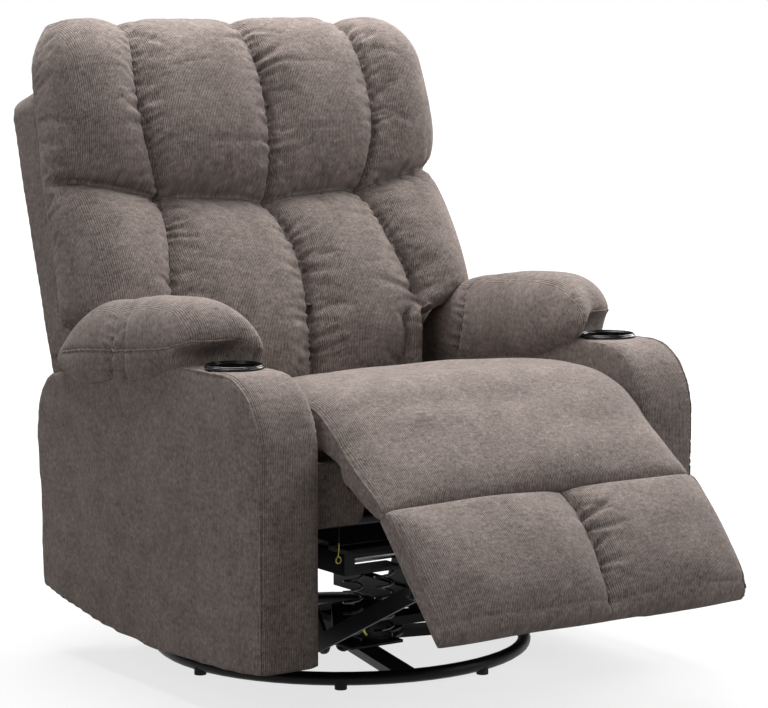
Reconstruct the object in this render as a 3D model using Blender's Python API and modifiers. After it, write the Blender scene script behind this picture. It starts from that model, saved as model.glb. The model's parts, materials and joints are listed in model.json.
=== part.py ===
"""Swivel rocker recliner, legrest half raised. Metres, +Z up, the sitter faces -Y.

Every size below is measured from the swivel axis on the floor. At the end the whole
chair is moved so that the origin lies under the middle of its box.
"""
import math

import bmesh
import bpy
from mathutils import Matrix, Vector

# Running and seating clearances
GAP = 0.0003
BORE_GAP = 0.0004
PIVOT_SLACK = 0.0018
WELD_DISTANCE = 0.00001
SMOOTH_ANGLE = 35
BEVEL_ANGLE = 40

# Width of the seat, from which the widths across the chair follow
SEAT_HALF = 0.300
ARM_SPACE = 0.012
ARM_WIDE = 0.108
MECH_INSET = 0.074
RAIL_SPACE = 0.038
FRAME_RAIL_WIDE = 0.020
CARRIAGE_SPACE = 0.042

# Round base and swivel bearing
RING_RADIUS = 0.309
RING_TUBE = 0.011
FOOT_HEIGHT = 0.006
FOOT_RADIUS = 0.010
FOOT_ANGLES = (-34, 14, 98, 146, 194, 278)
BASE_TURN = -14
BAR_WIDTH = 0.040
BAR_THICK = 0.014
PLATE_RADIUS = 0.105
PLATE_THICK = 0.005
BEARING_OUTER = 0.092
BEARING_INNER = 0.066
BEARING_THICK = 0.006
PIN_RADIUS = 0.0095
PIN_HEAD_RADIUS = 0.017
PIN_HEAD_THICK = 0.007

# Carriage that turns on the base and carries the rocker axle
CROSS_END = 0.039
CROSS_WIDTH = 0.045
CROSS_THICK = 0.016
CROSS_OFFSET = 0.055
CARRIAGE_RAIL_WIDTH = 0.026
CARRIAGE_RAIL_TALL = 0.034
CARRIAGE_FRONT = -0.235
CARRIAGE_REAR = 0.200
AXLE_Z = 0.150
AXLE_RADIUS = 0.010
AXLE_HEAD_RADIUS = 0.014
AXLE_HEAD_THICK = 0.006
EAR_RADIUS = 0.024
EAR_THICK = 0.008
EAR_FOOT = 0.050

# Rocker springs, two on each side of the carriage
SPRING_SPREAD = 0.030
SPRING_COIL = 0.015
SPRING_WIRE = 0.0022
SPRING_CURLS = 6
SPRING_SHELF_Z = 0.0705
SPRING_SHELF_THICK = 0.005
SPRING_SHELF_DEEP = 0.050
SPRING_PLATE_THICK = 0.006
SPRING_PLATE_TOP = 0.135
SPRING_LUG_RADIUS = 0.013

# Seat base frame that rocks on the axle
FRAME_RAIL_Z = 0.190
FRAME_RAIL_TALL = 0.035
FRAME_FRONT = -0.290
FRAME_REAR = 0.250
SPRING_CAP_THICK = 0.006
CROSS_TUBE_RADIUS = 0.0125
CROSS_TUBE_Y = (-0.070, 0.215)

# Upholstered arms
ARM_FRONT = -0.411
ARM_REAR_LOW = 0.279
ARM_REAR_HIGH = 0.297
ARM_TOP_FRONT = 0.530
ARM_TOP_REAR = 0.477
ARM_FRONT_CURVE_Z = 0.415
ARM_FRONT_CURVE_Y = -0.300
ARM_SLOPE_START = -0.200
ARM_REAR_CURVE_Y = 0.215
ARM_REAR_CURVE_Z = 0.370
ARM_BELLY_Y = -0.080
ARM_BELLY_Z = 0.067
ARM_BELLY_FRONT = 0.146
ARM_BELLY_REAR = 0.326
ARM_ROUND = 0.012

# Cup holders
CUP_Y = -0.254
CUP_BORE = 0.040
CUP_WALL = 0.002
CUP_DEPTH = 0.072
CUP_RIM = 0.0465
CUP_RIM_THICK = 0.004
CUP_RIM_ROUND = 0.0015

# Arm pads, scooped out round the cup holders
PAD_FRONT = -0.262
PAD_NOSE = -0.212
PAD_REAR = 0.192
PAD_TUCK = 0.016
PAD_OVERHANG = 0.022
PAD_LIP = 0.024
PAD_HIGH = 0.112
PAD_SEAM_Y = 0.020
PAD_SEAM_WIDTH = 0.022
PAD_SEAM_PINCH = 0.10
PAD_END_SHARE = 0.25
PAD_NOSE_POWER = 5.3
PAD_TAIL_POWER = 3.2
PAD_REAR_FALL = 0.08
PAD_NARROW = 0.10
PAD_SHOULDER = 0.28
PAD_SQUARE = 0.7
PAD_LIP_THICK = 0.004
SCOOP_RADIUS = 0.052
SCOOP_OUTER_Y = -0.158
SCOOP_DEPTH = 0.080

# Front apron between the arms
APRON_FRONT = -0.385
APRON_THICK = 0.018
APRON_BOTTOM = 0.290
APRON_ARCH = 0.315
APRON_ARCH_INSET = 0.014
APRON_TOP = 0.392
APRON_NOTCH_TOP = 0.345
APRON_NOTCH_SPACE = 0.017
APRON_CORNER = 0.020

# Pull tab that lets the legrest go, inside the sitter's right arm
BEZEL_Y = -0.070
BEZEL_Z = 0.435
BEZEL_HALF_WIDE = 0.040
BEZEL_HALF_TALL = 0.035
BEZEL_THICK = 0.003
TAB_HALF_WIDE = 0.024
TAB_HALF_TALL = 0.031
TAB_THICK = 0.004
CABLE_RADIUS = 0.0025
CABLE_CLAMP_Y = 0.020
CABLE_BEND = 0.040

# Seat that glides on the frame rails
SEAT_BOARD = 0.030
SEAT_FRAME_Z = 0.3303
SEAT_FRAME_TALL = 0.045
SEAT_FRONT = -0.315
SEAT_REAR = 0.165
SINUOUS_PITCH = 0.150
SINUOUS_WIRE = 0.002
SINUOUS_SWING = 0.026
SINUOUS_WAVES = 5
MECH_THICK = 0.006
MECH_FRONT = -0.215
MECH_REAR = 0.170
CUSHION_INSET = 0.004
CUSHION_DRAW = 0.006
CUSHION_REAR = 0.092
CUSHION_CREST = 0.500
CUSHION_DISH = 0.032
CUSHION_CROWN = 0.016
CUSHION_REAR_ROUND = 0.013
CUSHION_BROW_POWER = 0.8
CUSHION_TUCK = 0.10
CUSHION_TUCK_FROM = 0.965

# Legrest hinges: flap on the seat, panel on the flap
FLAP_HINGE = (-0.410, 0.380)
FLAP_LENGTH = 0.139
FLAP_ANGLE = 25.1
PANEL_ANGLE = 47.0
PANEL_LENGTH = 0.222
BOARD_LIFT = 0.002
BOARD_THICK = 0.016
HINGE_LUG = 0.012
HINGE_SPACE = 0.003
HINGE_PIN = 0.006
LUG_THICK = 0.008
LUG_ROOT = 0.026
NOSE_RADIUS = 0.0615
NOSE_SECTOR = 50
FLAP_BOARD_SPACE = 0.004
FLAP_PAD_START = 0.070
PANEL_INSET = 0.003
PANEL_BOARD_INSET = 0.017
PAD_EDGE = 0.040
PAD_CROWN = 0.058
PAD_EDGE_DROP = 0.012
PAD_DRAW = 0.006
PAD_SIDE_PUFF = 0.35
PAD_SPACE = 0.0025
CHANNEL_WIDTH = 0.045
CHANNEL_DEEP = 0.75
KNUCKLE_INSET = 0.034

# Drive crank and legrest links
CRANK_PIVOT = (-0.190, 0.260)
CRANK_TUBE = 0.0125
CRANK_LENGTH = 0.204
CRANK_ANGLE = 55.1
CRANK_HALF_WIDE = 0.017
LINK_EYE_REACH = 0.100
LINK_EYE_DROP = 0.0348
LINK_HALF_WIDE = 0.013
LINK_THICK = 0.006
LINK_SPACE = 0.004
LINK_PIN = 0.006

# Reclining back
BACK_PIVOT = (0.200, 0.360)
BACK_EYE = (0.024, 0.016)
BACK_FOOT = (0.216, 0.400)
BACK_LEAN = 17
SHELL_THICK = 0.105
SHELL_HIGH = 0.570
SHELL_INSET = 0.048
SHELL_LOW_SPACE = 0.009
SHELL_STEP = 0.112
SHELL_CORNER = 0.030
SHELL_ROUND = 0.014
BACK_HIGH = 0.682
BACK_LOW_SPACE = 0.026
BACK_PROUD = 0.008
BACK_FLARE = 0.026
BACK_WIDEN = (0.150, 0.205)
BACK_ROW = 0.355
BACK_SEAM_AT = 0.570
BACK_CREASE = 0.080
BACK_CROWN_LOW = 0.152
BACK_CROWN_HIGH = 0.138
BACK_SHOULDER = 0.070
BACK_SHOULDER_DRAW = 0.030
BACK_PUFF_POWER = 2.5
BACK_SEAM_SHARE = 0.85
BACK_EDGE_FROM = 0.6
BACK_EDGE_FALL = 0.5
BACK_LEAST_PUFF = 0.25
BACK_END_ROLL = 0.16
BACK_TOP_ROLL = 0.060
BACK_FOOT_ROLL = 0.050
BRACKET_THICK = 0.006
BRACKET_ROOT = (0.15, 0.85)
BRACKET_SOLE = (0.08, 0.92)

# Widths that follow from the seat
ARM_IN = SEAT_HALF + ARM_SPACE
ARM_OUT = ARM_IN + ARM_WIDE
PAD_IN = ARM_IN - PAD_TUCK
PAD_OUT = ARM_OUT + PAD_OVERHANG
MECH_IN = SEAT_HALF - MECH_INSET
FRAME_RAIL_OUT = MECH_IN - RAIL_SPACE
FRAME_RAIL_IN = FRAME_RAIL_OUT - FRAME_RAIL_WIDE
CARRIAGE_RAIL_X = FRAME_RAIL_IN - CARRIAGE_SPACE
CROSS_HALF = CARRIAGE_RAIL_X + CROSS_END
APRON_ARCH_HALF = MECH_IN - APRON_ARCH_INSET
APRON_NOTCH_HALF = MECH_IN + APRON_NOTCH_SPACE
SINUOUS_X = (-SINUOUS_PITCH, 0.0, SINUOUS_PITCH)
CUSHION_HALF = SEAT_HALF - CUSHION_INSET
FLAP_BOARD_HALF = MECH_IN - FLAP_BOARD_SPACE
KNUCKLE_X = FLAP_BOARD_HALF - KNUCKLE_INSET
PANEL_HALF = SEAT_HALF - PANEL_INSET
PANEL_BOARD_HALF = PANEL_HALF - PANEL_BOARD_INSET
SHELL_HALF = ARM_OUT - SHELL_INSET
SHELL_LOW_HALF = ARM_IN - SHELL_LOW_SPACE
BACK_HALF = SHELL_HALF + BACK_PROUD
BACK_LOW_HALF = ARM_IN - BACK_LOW_SPACE
BACK_SEAM_X = BACK_SEAM_AT * BACK_HALF

# Heights that follow from the stack on the floor
RING_Z = FOOT_HEIGHT + RING_TUBE
LOWER_PLATE_Z = RING_Z + BAR_THICK / 2 + GAP
BEARING_Z = LOWER_PLATE_Z + PLATE_THICK + GAP
UPPER_PLATE_Z = BEARING_Z + BEARING_THICK + GAP
CROSS_Z = UPPER_PLATE_Z + PLATE_THICK + GAP
CARRIAGE_RAIL_Z = CROSS_Z + CROSS_THICK + GAP
SPRING_Y = CARRIAGE_FRONT - SPRING_PLATE_THICK - SPRING_SHELF_DEEP / 2
SPRING_SEAT = 1.4 * SPRING_COIL
CUP_X = (ARM_IN + ARM_OUT) / 2
CRANK_X = MECH_IN + MECH_THICK + LINK_SPACE
LINK_X = CRANK_X + LINK_THICK + LINK_SPACE
BRACKET_X = LINK_X + LINK_THICK + LINK_SPACE
PAD_FLOOR = BOARD_LIFT + BOARD_THICK + GAP
CUSHION_FLOOR = SEAT_FRAME_Z + SEAT_FRAME_TALL + GAP
NOSE_FLOOR = FLAP_HINGE[1] + PAD_FLOOR

SIDES = (("right", -1), ("left", 1))


def forward(angle):
    """Unit (y, z) step towards the front, pitched down by an angle in degrees."""
    turn = math.radians(angle)
    return (-math.cos(turn), -math.sin(turn))


def along(start, angle, reach, lift=0.0):
    """A (y, z) point at a reach along a sloping board and a lift above it."""
    step = forward(angle)
    return (start[0] + step[0] * reach + step[1] * lift,
            start[1] + step[1] * reach - step[0] * lift)


def on_back(height, out):
    """A (y, z) point at a height up the leaning back and a distance out of it."""
    lean = math.radians(BACK_LEAN)
    return (BACK_FOOT[0] + height * math.sin(lean) - out * math.cos(lean),
            BACK_FOOT[1] + height * math.cos(lean) + out * math.sin(lean))


def ease(value, low, high):
    """Smooth step from 0 at low to 1 at high."""
    part = min(1.0, max(0.0, (value - low) / (high - low)))
    return part * part * (3 - 2 * part)


KNEE = along(CRANK_PIVOT, CRANK_ANGLE, CRANK_LENGTH)
PANEL_HINGE = along(FLAP_HINGE, FLAP_ANGLE, FLAP_LENGTH)
LINK_END = along(PANEL_HINGE, PANEL_ANGLE, LINK_EYE_REACH, -LINK_EYE_DROP)


# Scene, collections and materials
for old in list(bpy.data.objects):
    bpy.data.objects.remove(old)
parts = bpy.data.collections.new("swivel_rocker_recliner")
cutters = bpy.data.collections.new("cutters")
bpy.context.scene.collection.children.link(parts)
bpy.context.scene.collection.children.link(cutters)


def finish(name, colour, roughness, metallic=0.0):
    material = bpy.data.materials.new(name)
    material.use_nodes = True
    shader = material.node_tree.nodes["Principled BSDF"]
    shader.inputs["Base Color"].default_value = (*colour, 1.0)
    shader.inputs["Roughness"].default_value = roughness
    shader.inputs["Metallic"].default_value = metallic
    return material


FABRIC = finish("taupe_chenille", (0.165, 0.138, 0.122), 0.92)
BLACK = finish("black_steel", (0.010, 0.010, 0.011), 0.38, 0.6)
STEEL = finish("bare_steel", (0.45, 0.45, 0.46), 0.35, 1.0)
PLASTIC = finish("black_plastic", (0.012, 0.012, 0.013), 0.22)
NYLON = finish("white_nylon", (0.72, 0.71, 0.68), 0.5)
RUBBER = finish("black_rubber", (0.018, 0.018, 0.018), 0.85)
WOOD = finish("plywood", (0.45, 0.31, 0.18), 0.7)
SPRING = finish("spring_steel", (0.20, 0.20, 0.21), 0.4, 1.0)


def body(name, y=0.0, z=0.0, parent=None):
    """An empty on a joint's axis, which carries the pieces that move there."""
    empty = bpy.data.objects.new(name, None)
    parts.objects.link(empty)
    empty["axis"] = (0.0, y, z)
    base = parent["axis"] if parent else (0.0, 0.0, 0.0)
    empty.parent = parent
    empty.location = (-base[0], y - base[1], z - base[2])
    return empty


chair = body("chair")
base_body = body("base", parent=chair)
carriage_body = body("carriage", parent=base_body)
frame_body = body("frame", 0.0, AXLE_Z, carriage_body)
tab_body = body("release", BEZEL_Y, BEZEL_Z, frame_body)
seat_body = body("seat", 0.0, SEAT_FRAME_Z, frame_body)
back_body = body("back", *BACK_PIVOT, seat_body)
flap_body = body("flap", *FLAP_HINGE, seat_body)
panel_body = body("legrest", *PANEL_HINGE, flap_body)
crank_body = body("crank", *CRANK_PIVOT, seat_body)
link_bodies = {side: body("link_" + side, *KNEE, crank_body) for side, _ in SIDES}


def place(obj, carrier, material):
    """Put a finished piece in the chair and hang it on its body."""
    parts.objects.link(obj)
    obj.data.materials.clear()
    obj.data.materials.append(material)
    obj.parent = carrier
    obj.matrix_parent_inverse = Matrix.Translation(-Vector(carrier["axis"]))
    if obj.type == "MESH":
        obj.data.shade_smooth()
        obj.data.set_sharp_from_angle(angle=math.radians(SMOOTH_ANGLE))
    return obj


def as_cutter(obj):
    cutters.objects.link(obj)
    obj.parent = chair
    obj.hide_render = True
    obj.display_type = "WIRE"
    return obj


def from_bmesh(name, shape):
    bmesh.ops.recalc_face_normals(shape, faces=shape.faces)
    mesh = bpy.data.meshes.new(name)
    shape.to_mesh(mesh)
    shape.free()
    return bpy.data.objects.new(name, mesh)


def box(name, low, high):
    """A block between two corners."""
    low, high = Vector(low), Vector(high)
    shape = bmesh.new()
    size = Matrix.Diagonal((*(high - low), 1.0))
    bmesh.ops.create_cube(shape, size=1.0, matrix=Matrix.Translation((low + high) / 2) @ size)
    return from_bmesh(name, shape)


def rod(name, start, end, radius, sides=16):
    """A round bar between two points."""
    start, end = Vector(start), Vector(end)
    run = end - start
    turn = run.to_track_quat("Z", "Y").to_matrix().to_4x4()
    shape = bmesh.new()
    bmesh.ops.create_cone(shape, cap_ends=True, segments=sides, radius1=radius, radius2=radius,
                          depth=run.length, matrix=Matrix.Translation((start + end) / 2) @ turn)
    return from_bmesh(name, shape)


def turned(name, profile, centre=(0.0, 0.0, 0.0), sides=32):
    """A closed (radius, height) profile, listed top to bottom on its outer side, spun round Z."""
    mesh = bpy.data.meshes.new(name)
    count = len(profile)
    edges = [(i, (i + 1) % count) for i in range(count)]
    mesh.from_pydata([(r, 0.0, z) for r, z in profile], edges, [])
    obj = bpy.data.objects.new(name, mesh)
    obj.location = centre
    spin = obj.modifiers.new("spin", "SCREW")
    spin.steps = sides
    spin.render_steps = sides
    spin.use_merge_vertices = True
    spin.merge_threshold = WELD_DISTANCE
    return obj


def ring_profile(inner, outer, low, high):
    return [(outer, high), (outer, low), (inner, low), (inner, high)]


def to_mesh(curve_obj, matrix):
    """Swap a curve object for the welded mesh that it makes."""
    bpy.context.scene.collection.objects.link(curve_obj)
    bpy.context.view_layer.update()
    seen = curve_obj.evaluated_get(bpy.context.evaluated_depsgraph_get())
    mesh = bpy.data.meshes.new_from_object(seen)
    name = curve_obj.name
    bpy.data.objects.remove(curve_obj)
    shape = bmesh.new()
    shape.from_mesh(mesh)
    bpy.data.meshes.remove(mesh)
    bmesh.ops.remove_doubles(shape, verts=shape.verts, dist=WELD_DISTANCE)
    bmesh.ops.transform(shape, matrix=matrix, verts=shape.verts)
    return from_bmesh(name, shape)


SIDE_VIEW = Matrix(((0, 0, 1, 0), (1, 0, 0, 0), (0, 1, 0, 0), (0, 0, 0, 1)))
FRONT_VIEW = Matrix(((1, 0, 0, 0), (0, 0, -1, 0), (0, 1, 0, 0), (0, 0, 0, 1)))
TOP_VIEW = Matrix.Identity(4)


def plate(name, outlines, low, high, view=SIDE_VIEW):
    """A flat outline with its holes, between two distances along the view's own axis."""
    curve = bpy.data.curves.new(name, "CURVE")
    curve.dimensions = "2D"
    curve.fill_mode = "BOTH"
    curve.extrude = (high - low) / 2
    for outline in outlines:
        spline = curve.splines.new("POLY")
        spline.points.add(len(outline) - 1)
        for point, (u, v) in zip(spline.points, outline):
            point.co = (u, v, 0.0, 1.0)
        spline.use_cyclic_u = True
    middle = Matrix.Translation((0.0, 0.0, (low + high) / 2))
    return to_mesh(bpy.data.objects.new(name, curve), view @ middle)


def side_plate(name, outlines, side, near, thick):
    """A plate in the side view, standing off the middle of the chair on one side."""
    low, high = sorted((side * near, side * (near + thick)))
    return plate(name, outlines, low, high)


def tube(name, points, radius, sides=2):
    """A round wire or tube through points, with filled ends."""
    curve = bpy.data.curves.new(name, "CURVE")
    curve.dimensions = "3D"
    curve.bevel_depth = radius
    curve.bevel_resolution = sides
    curve.use_fill_caps = True
    spline = curve.splines.new("POLY")
    spline.points.add(len(points) - 1)
    for point, place_at in zip(spline.points, points):
        point.co = (*place_at, 1.0)
    return to_mesh(bpy.data.objects.new(name, curve), Matrix.Identity(4))


def circle(centre, radius, count=14):
    steps = [2 * math.pi * i / count for i in range(count)]
    return [(centre[0] + radius * math.cos(a), centre[1] + radius * math.sin(a)) for a in steps]


def arc(centre, size, start, end, count):
    """Points on an ellipse's arc, with angles in degrees."""
    angles = [math.radians(start + (end - start) * i / count) for i in range(count + 1)]
    return [(centre[0] + size[0] * math.cos(a), centre[1] + size[1] * math.sin(a)) for a in angles]


def strap(start, end, radius):
    """The outline of a flat bar with round ends about two pivots."""
    heading = math.degrees(math.atan2(end[1] - start[1], end[0] - start[0]))
    return (arc(end, (radius, radius), heading - 90, heading + 90, 7)
            + arc(start, (radius, radius), heading + 90, heading + 270, 7))


def loft(name, rings):
    """A closed skin through rings of equal point counts, with its two ends filled."""
    shape = bmesh.new()
    loops = [[shape.verts.new(point) for point in ring] for ring in rings]
    count = len(loops[0])
    for near, far in zip(loops, loops[1:]):
        for i in range(count):
            j = (i + 1) % count
            shape.faces.new((near[i], near[j], far[j], far[i]))
    shape.faces.new(loops[0])
    shape.faces.new(loops[-1])
    return from_bmesh(name, shape)


def boolean(obj, tool, operation):
    as_cutter(tool)
    step = obj.modifiers.new(operation.lower(), "BOOLEAN")
    step.operation = operation
    step.object = tool
    step.solver = "EXACT"
    return obj


def weld(obj, *others):
    for other in others:
        boolean(obj, other, "UNION")
    return obj


def cut(obj, *tools):
    for tool in tools:
        boolean(obj, tool, "DIFFERENCE")
    return obj


def rounded(obj, width, segments=2):
    bevel = obj.modifiers.new("round", "BEVEL")
    bevel.width = width
    bevel.segments = segments
    bevel.limit_method = "ANGLE"
    bevel.angle_limit = math.radians(BEVEL_ANGLE)
    return obj


def torus(name, tube_radius):
    bpy.ops.mesh.primitive_torus_add(major_radius=RING_RADIUS, minor_radius=tube_radius,
                                     major_segments=60, minor_segments=10,
                                     location=(0.0, 0.0, RING_Z))
    obj = bpy.context.object
    for holder in list(obj.users_collection):
        holder.objects.unlink(obj)
    obj.name = name
    obj.data.transform(Matrix.Translation(obj.location))
    obj.location = (0.0, 0.0, 0.0)
    return obj


# Round base on rubber feet
def build_base():
    place(torus("base_ring", RING_TUBE), base_body, BLACK)
    turn = Matrix.Rotation(math.radians(BASE_TURN), 4, "Z")
    low, high = RING_Z - BAR_THICK / 2, RING_Z + BAR_THICK / 2
    half = BAR_WIDTH / 2
    cross = box("base_cross", (-half, -RING_RADIUS, low), (half, RING_RADIUS, high))
    other = box("cross_arm", (-RING_RADIUS, -half, low), (RING_RADIUS, half, high))
    for bar in (cross, other):
        bar.data.transform(turn)
    weld(cross, other)
    cut(cross, torus("ring_seat", RING_TUBE + GAP),
        rod("pin_hole", (0, 0, low - BAR_THICK), (0, 0, high + BAR_THICK), PIN_RADIUS + BORE_GAP, 24))
    place(cross, base_body, BLACK)
    for number, angle in enumerate(FOOT_ANGLES, 1):
        turn = math.radians(angle)
        x, y = RING_RADIUS * math.sin(turn), -RING_RADIUS * math.cos(turn)
        top = RING_Z - RING_TUBE / 3
        foot = rod("base_foot_%d" % number, (x, y, 0), (x, y, top), FOOT_RADIUS, 12)
        cut(foot, torus("foot_saddle_%d" % number, RING_TUBE + GAP))
        place(foot, base_body, RUBBER)


def build_swivel():
    hole = PIN_RADIUS + BORE_GAP
    lower = turned("swivel_lower_plate",
                   ring_profile(hole, PLATE_RADIUS, LOWER_PLATE_Z, LOWER_PLATE_Z + PLATE_THICK))
    place(lower, base_body, BLACK)
    bearing = turned("swivel_bearing", ring_profile(BEARING_INNER, BEARING_OUTER, BEARING_Z,
                                                    BEARING_Z + BEARING_THICK))
    place(bearing, base_body, NYLON)
    upper = turned("swivel_upper_plate",
                   ring_profile(hole, PLATE_RADIUS, UPPER_PLATE_Z, UPPER_PLATE_Z + PLATE_THICK))
    place(upper, carriage_body, BLACK)
    head = CROSS_Z + PIN_HEAD_THICK
    pin = turned("swivel_pin", [(0.0, head), (PIN_HEAD_RADIUS, head), (PIN_HEAD_RADIUS, CROSS_Z),
                                (PIN_RADIUS, CROSS_Z), (PIN_RADIUS, RING_Z - BAR_THICK / 2),
                                (0.0, RING_Z - BAR_THICK / 2)], sides=24)
    place(pin, base_body, STEEL)


# Turning carriage with its rocker axle
def ear_outline(foot_z):
    """A bearing ear about the axle, widening towards its foot."""
    up = 1 if foot_z < AXLE_Z else -1
    cap = arc((0.0, AXLE_Z), (EAR_RADIUS, up * EAR_RADIUS), 0, 180, 10)
    return [*cap, (-EAR_FOOT, foot_z), (EAR_FOOT, foot_z)]


def build_carriage():
    for where, y in (("front", -CROSS_OFFSET), ("rear", CROSS_OFFSET)):
        bar = box("carriage_cross_" + where, (-CROSS_HALF, y - CROSS_WIDTH / 2, CROSS_Z),
                  (CROSS_HALF, y + CROSS_WIDTH / 2, CROSS_Z + CROSS_THICK))
        place(bar, carriage_body, BLACK)
    axle_hole = circle((0.0, AXLE_Z), AXLE_RADIUS + BORE_GAP)
    top = CARRIAGE_RAIL_Z + CARRIAGE_RAIL_TALL
    for name, side in SIDES:
        edges = sorted((side * (CARRIAGE_RAIL_X - CARRIAGE_RAIL_WIDTH / 2),
                        side * (CARRIAGE_RAIL_X + CARRIAGE_RAIL_WIDTH / 2)))
        rail = box("carriage_rail_" + name, (edges[0], CARRIAGE_FRONT, CARRIAGE_RAIL_Z),
                   (edges[1], CARRIAGE_REAR, top))
        ear = side_plate("carriage_ear_" + name, [ear_outline(top - EAR_RADIUS / 2), axle_hole],
                         side, CARRIAGE_RAIL_X - EAR_THICK / 2, EAR_THICK)
        place(weld(rail, ear), carriage_body, BLACK)
    reach = FRAME_RAIL_OUT + GAP
    axle = rod("rocker_axle", (-reach, 0, AXLE_Z), (reach, 0, AXLE_Z), AXLE_RADIUS)
    for side in (-1, 1):
        ends = sorted((side * (reach - GAP), side * (reach + AXLE_HEAD_THICK)))
        head = rod("axle_head", (ends[0], 0, AXLE_Z), (ends[1], 0, AXLE_Z), AXLE_HEAD_RADIUS)
        weld(axle, head)
    place(axle, carriage_body, STEEL)


def coil(centre, radius, wire, curls, low, high):
    """Points up an unbroken coil with a short straight run at each end."""
    per_curl = 8
    lead = 2 * wire
    rise = (high - low - 2 * lead) / (curls * per_curl)
    points = [(centre[0] + radius, centre[1], low)]
    for i in range(curls * per_curl + 1):
        turn = 2 * math.pi * i / per_curl
        points.append((centre[0] + radius * math.cos(turn), centre[1] + radius * math.sin(turn),
                       low + lead + rise * i))
    points.append((centre[0] + radius, centre[1], high))
    return points, rise * per_curl - 2 * wire


def build_rocker_springs():
    shelf_top = SPRING_SHELF_Z + SPRING_SHELF_THICK
    plate_rear = CARRIAGE_FRONT - GAP
    plate_front = plate_rear - SPRING_PLATE_THICK
    for name, side in SIDES:
        xs = [side * (CARRIAGE_RAIL_X - SPRING_SPREAD), side * (CARRIAGE_RAIL_X + SPRING_SPREAD)]
        edges = sorted((xs[0] - side * SPRING_SEAT, xs[1] + side * SPRING_SEAT))
        inset = SPRING_PLATE_THICK / 4
        lug_z = SPRING_SHELF_Z - inset
        outline = [(edges[1], SPRING_PLATE_TOP), (edges[0], SPRING_PLATE_TOP)]
        for x in sorted(xs):
            outline.append((x - SPRING_SPREAD / 1.5, lug_z + 2 * inset))
            outline += arc((x, lug_z), (SPRING_LUG_RADIUS, SPRING_LUG_RADIUS), 180, 360, 8)
        outline.append((edges[1], lug_z + inset))
        bracket = plate("spring_bracket_" + name, [outline], -plate_rear, -plate_front, FRONT_VIEW)
        shelf_front = plate_front - SPRING_SHELF_DEEP
        shelf_rear = plate_front + SPRING_PLATE_THICK / 2
        shelf = box("spring_shelf", (edges[0] + inset, shelf_front, SPRING_SHELF_Z),
                    (edges[1] - inset, shelf_rear, shelf_top))
        place(weld(bracket, shelf), carriage_body, BLACK)
        for spot, x in zip(("inner", "outer"), xs):
            points, slack = coil((x, SPRING_Y), SPRING_COIL, SPRING_WIRE, SPRING_CURLS,
                                 shelf_top + GAP, FRAME_RAIL_Z - GAP)
            label = "rocker_spring_%s_%s" % (name, spot)
            place(tube(label, points, SPRING_WIRE, 1), carriage_body, SPRING)
            print(label, "least gap between curls %.4f m" % slack)


# Rocking seat base
def build_frame():
    top = FRAME_RAIL_Z + FRAME_RAIL_TALL
    axle_hole = circle((0.0, AXLE_Z), AXLE_RADIUS + BORE_GAP)
    for name, side in SIDES:
        edges = sorted((side * FRAME_RAIL_IN, side * FRAME_RAIL_OUT))
        rail = box("frame_rail_" + name, (edges[0], FRAME_FRONT, FRAME_RAIL_Z),
                   (edges[1], FRAME_REAR, top))
        ear_root = FRAME_RAIL_Z + EAR_RADIUS / 2
        ear = side_plate("frame_ear_" + name, [ear_outline(ear_root), axle_hole],
                         side, FRAME_RAIL_IN + EAR_THICK / 2, EAR_THICK)
        inner = CARRIAGE_RAIL_X - SPRING_SPREAD - SPRING_SEAT
        caps = sorted((side * inner, side * (FRAME_RAIL_IN + EAR_THICK)))
        cap = box("spring_cap", (caps[0], FRAME_FRONT, FRAME_RAIL_Z),
                  (caps[1], SPRING_Y + SPRING_SHELF_DEEP / 2, FRAME_RAIL_Z + SPRING_CAP_THICK))
        place(weld(rail, ear, cap), frame_body, BLACK)
    tube_z = FRAME_RAIL_Z - GAP - CROSS_TUBE_RADIUS
    reach = ARM_IN - GAP
    for where, y in zip(("front", "rear"), CROSS_TUBE_Y):
        ends = ((-reach, y, tube_z), (reach, y, tube_z))
        bar = rod("cross_tube_" + where, *ends, CROSS_TUBE_RADIUS)
        place(bar, frame_body, BLACK)


def arm_bottom(y):
    swell = ARM_BELLY_FRONT if y < ARM_BELLY_Y else ARM_BELLY_REAR
    return ARM_BELLY_Z + swell * (y - ARM_BELLY_Y) ** 2


def arm_top(y):
    part = max(0.0, (y - ARM_SLOPE_START) / (ARM_REAR_CURVE_Y - ARM_SLOPE_START))
    return ARM_TOP_FRONT + (ARM_TOP_REAR - ARM_TOP_FRONT) * part


def arm_outline():
    """Side view of an arm, from its front foot over the top and back along its belly."""
    front_curve = arc((ARM_FRONT_CURVE_Y, ARM_FRONT_CURVE_Z),
                      (ARM_FRONT_CURVE_Y - ARM_FRONT, ARM_TOP_FRONT - ARM_FRONT_CURVE_Z), 180, 90, 8)
    rear_curve = arc((ARM_REAR_CURVE_Y, ARM_REAR_CURVE_Z),
                     (ARM_REAR_HIGH - ARM_REAR_CURVE_Y, ARM_TOP_REAR - ARM_REAR_CURVE_Z), 90, 0, 6)
    steps = 10
    belly = [ARM_REAR_LOW + (ARM_FRONT - ARM_REAR_LOW) * i / steps for i in range(steps + 1)]
    return [*front_curve, (ARM_SLOPE_START, ARM_TOP_FRONT), *rear_curve,
            *((y, arm_bottom(y)) for y in belly)]


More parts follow.
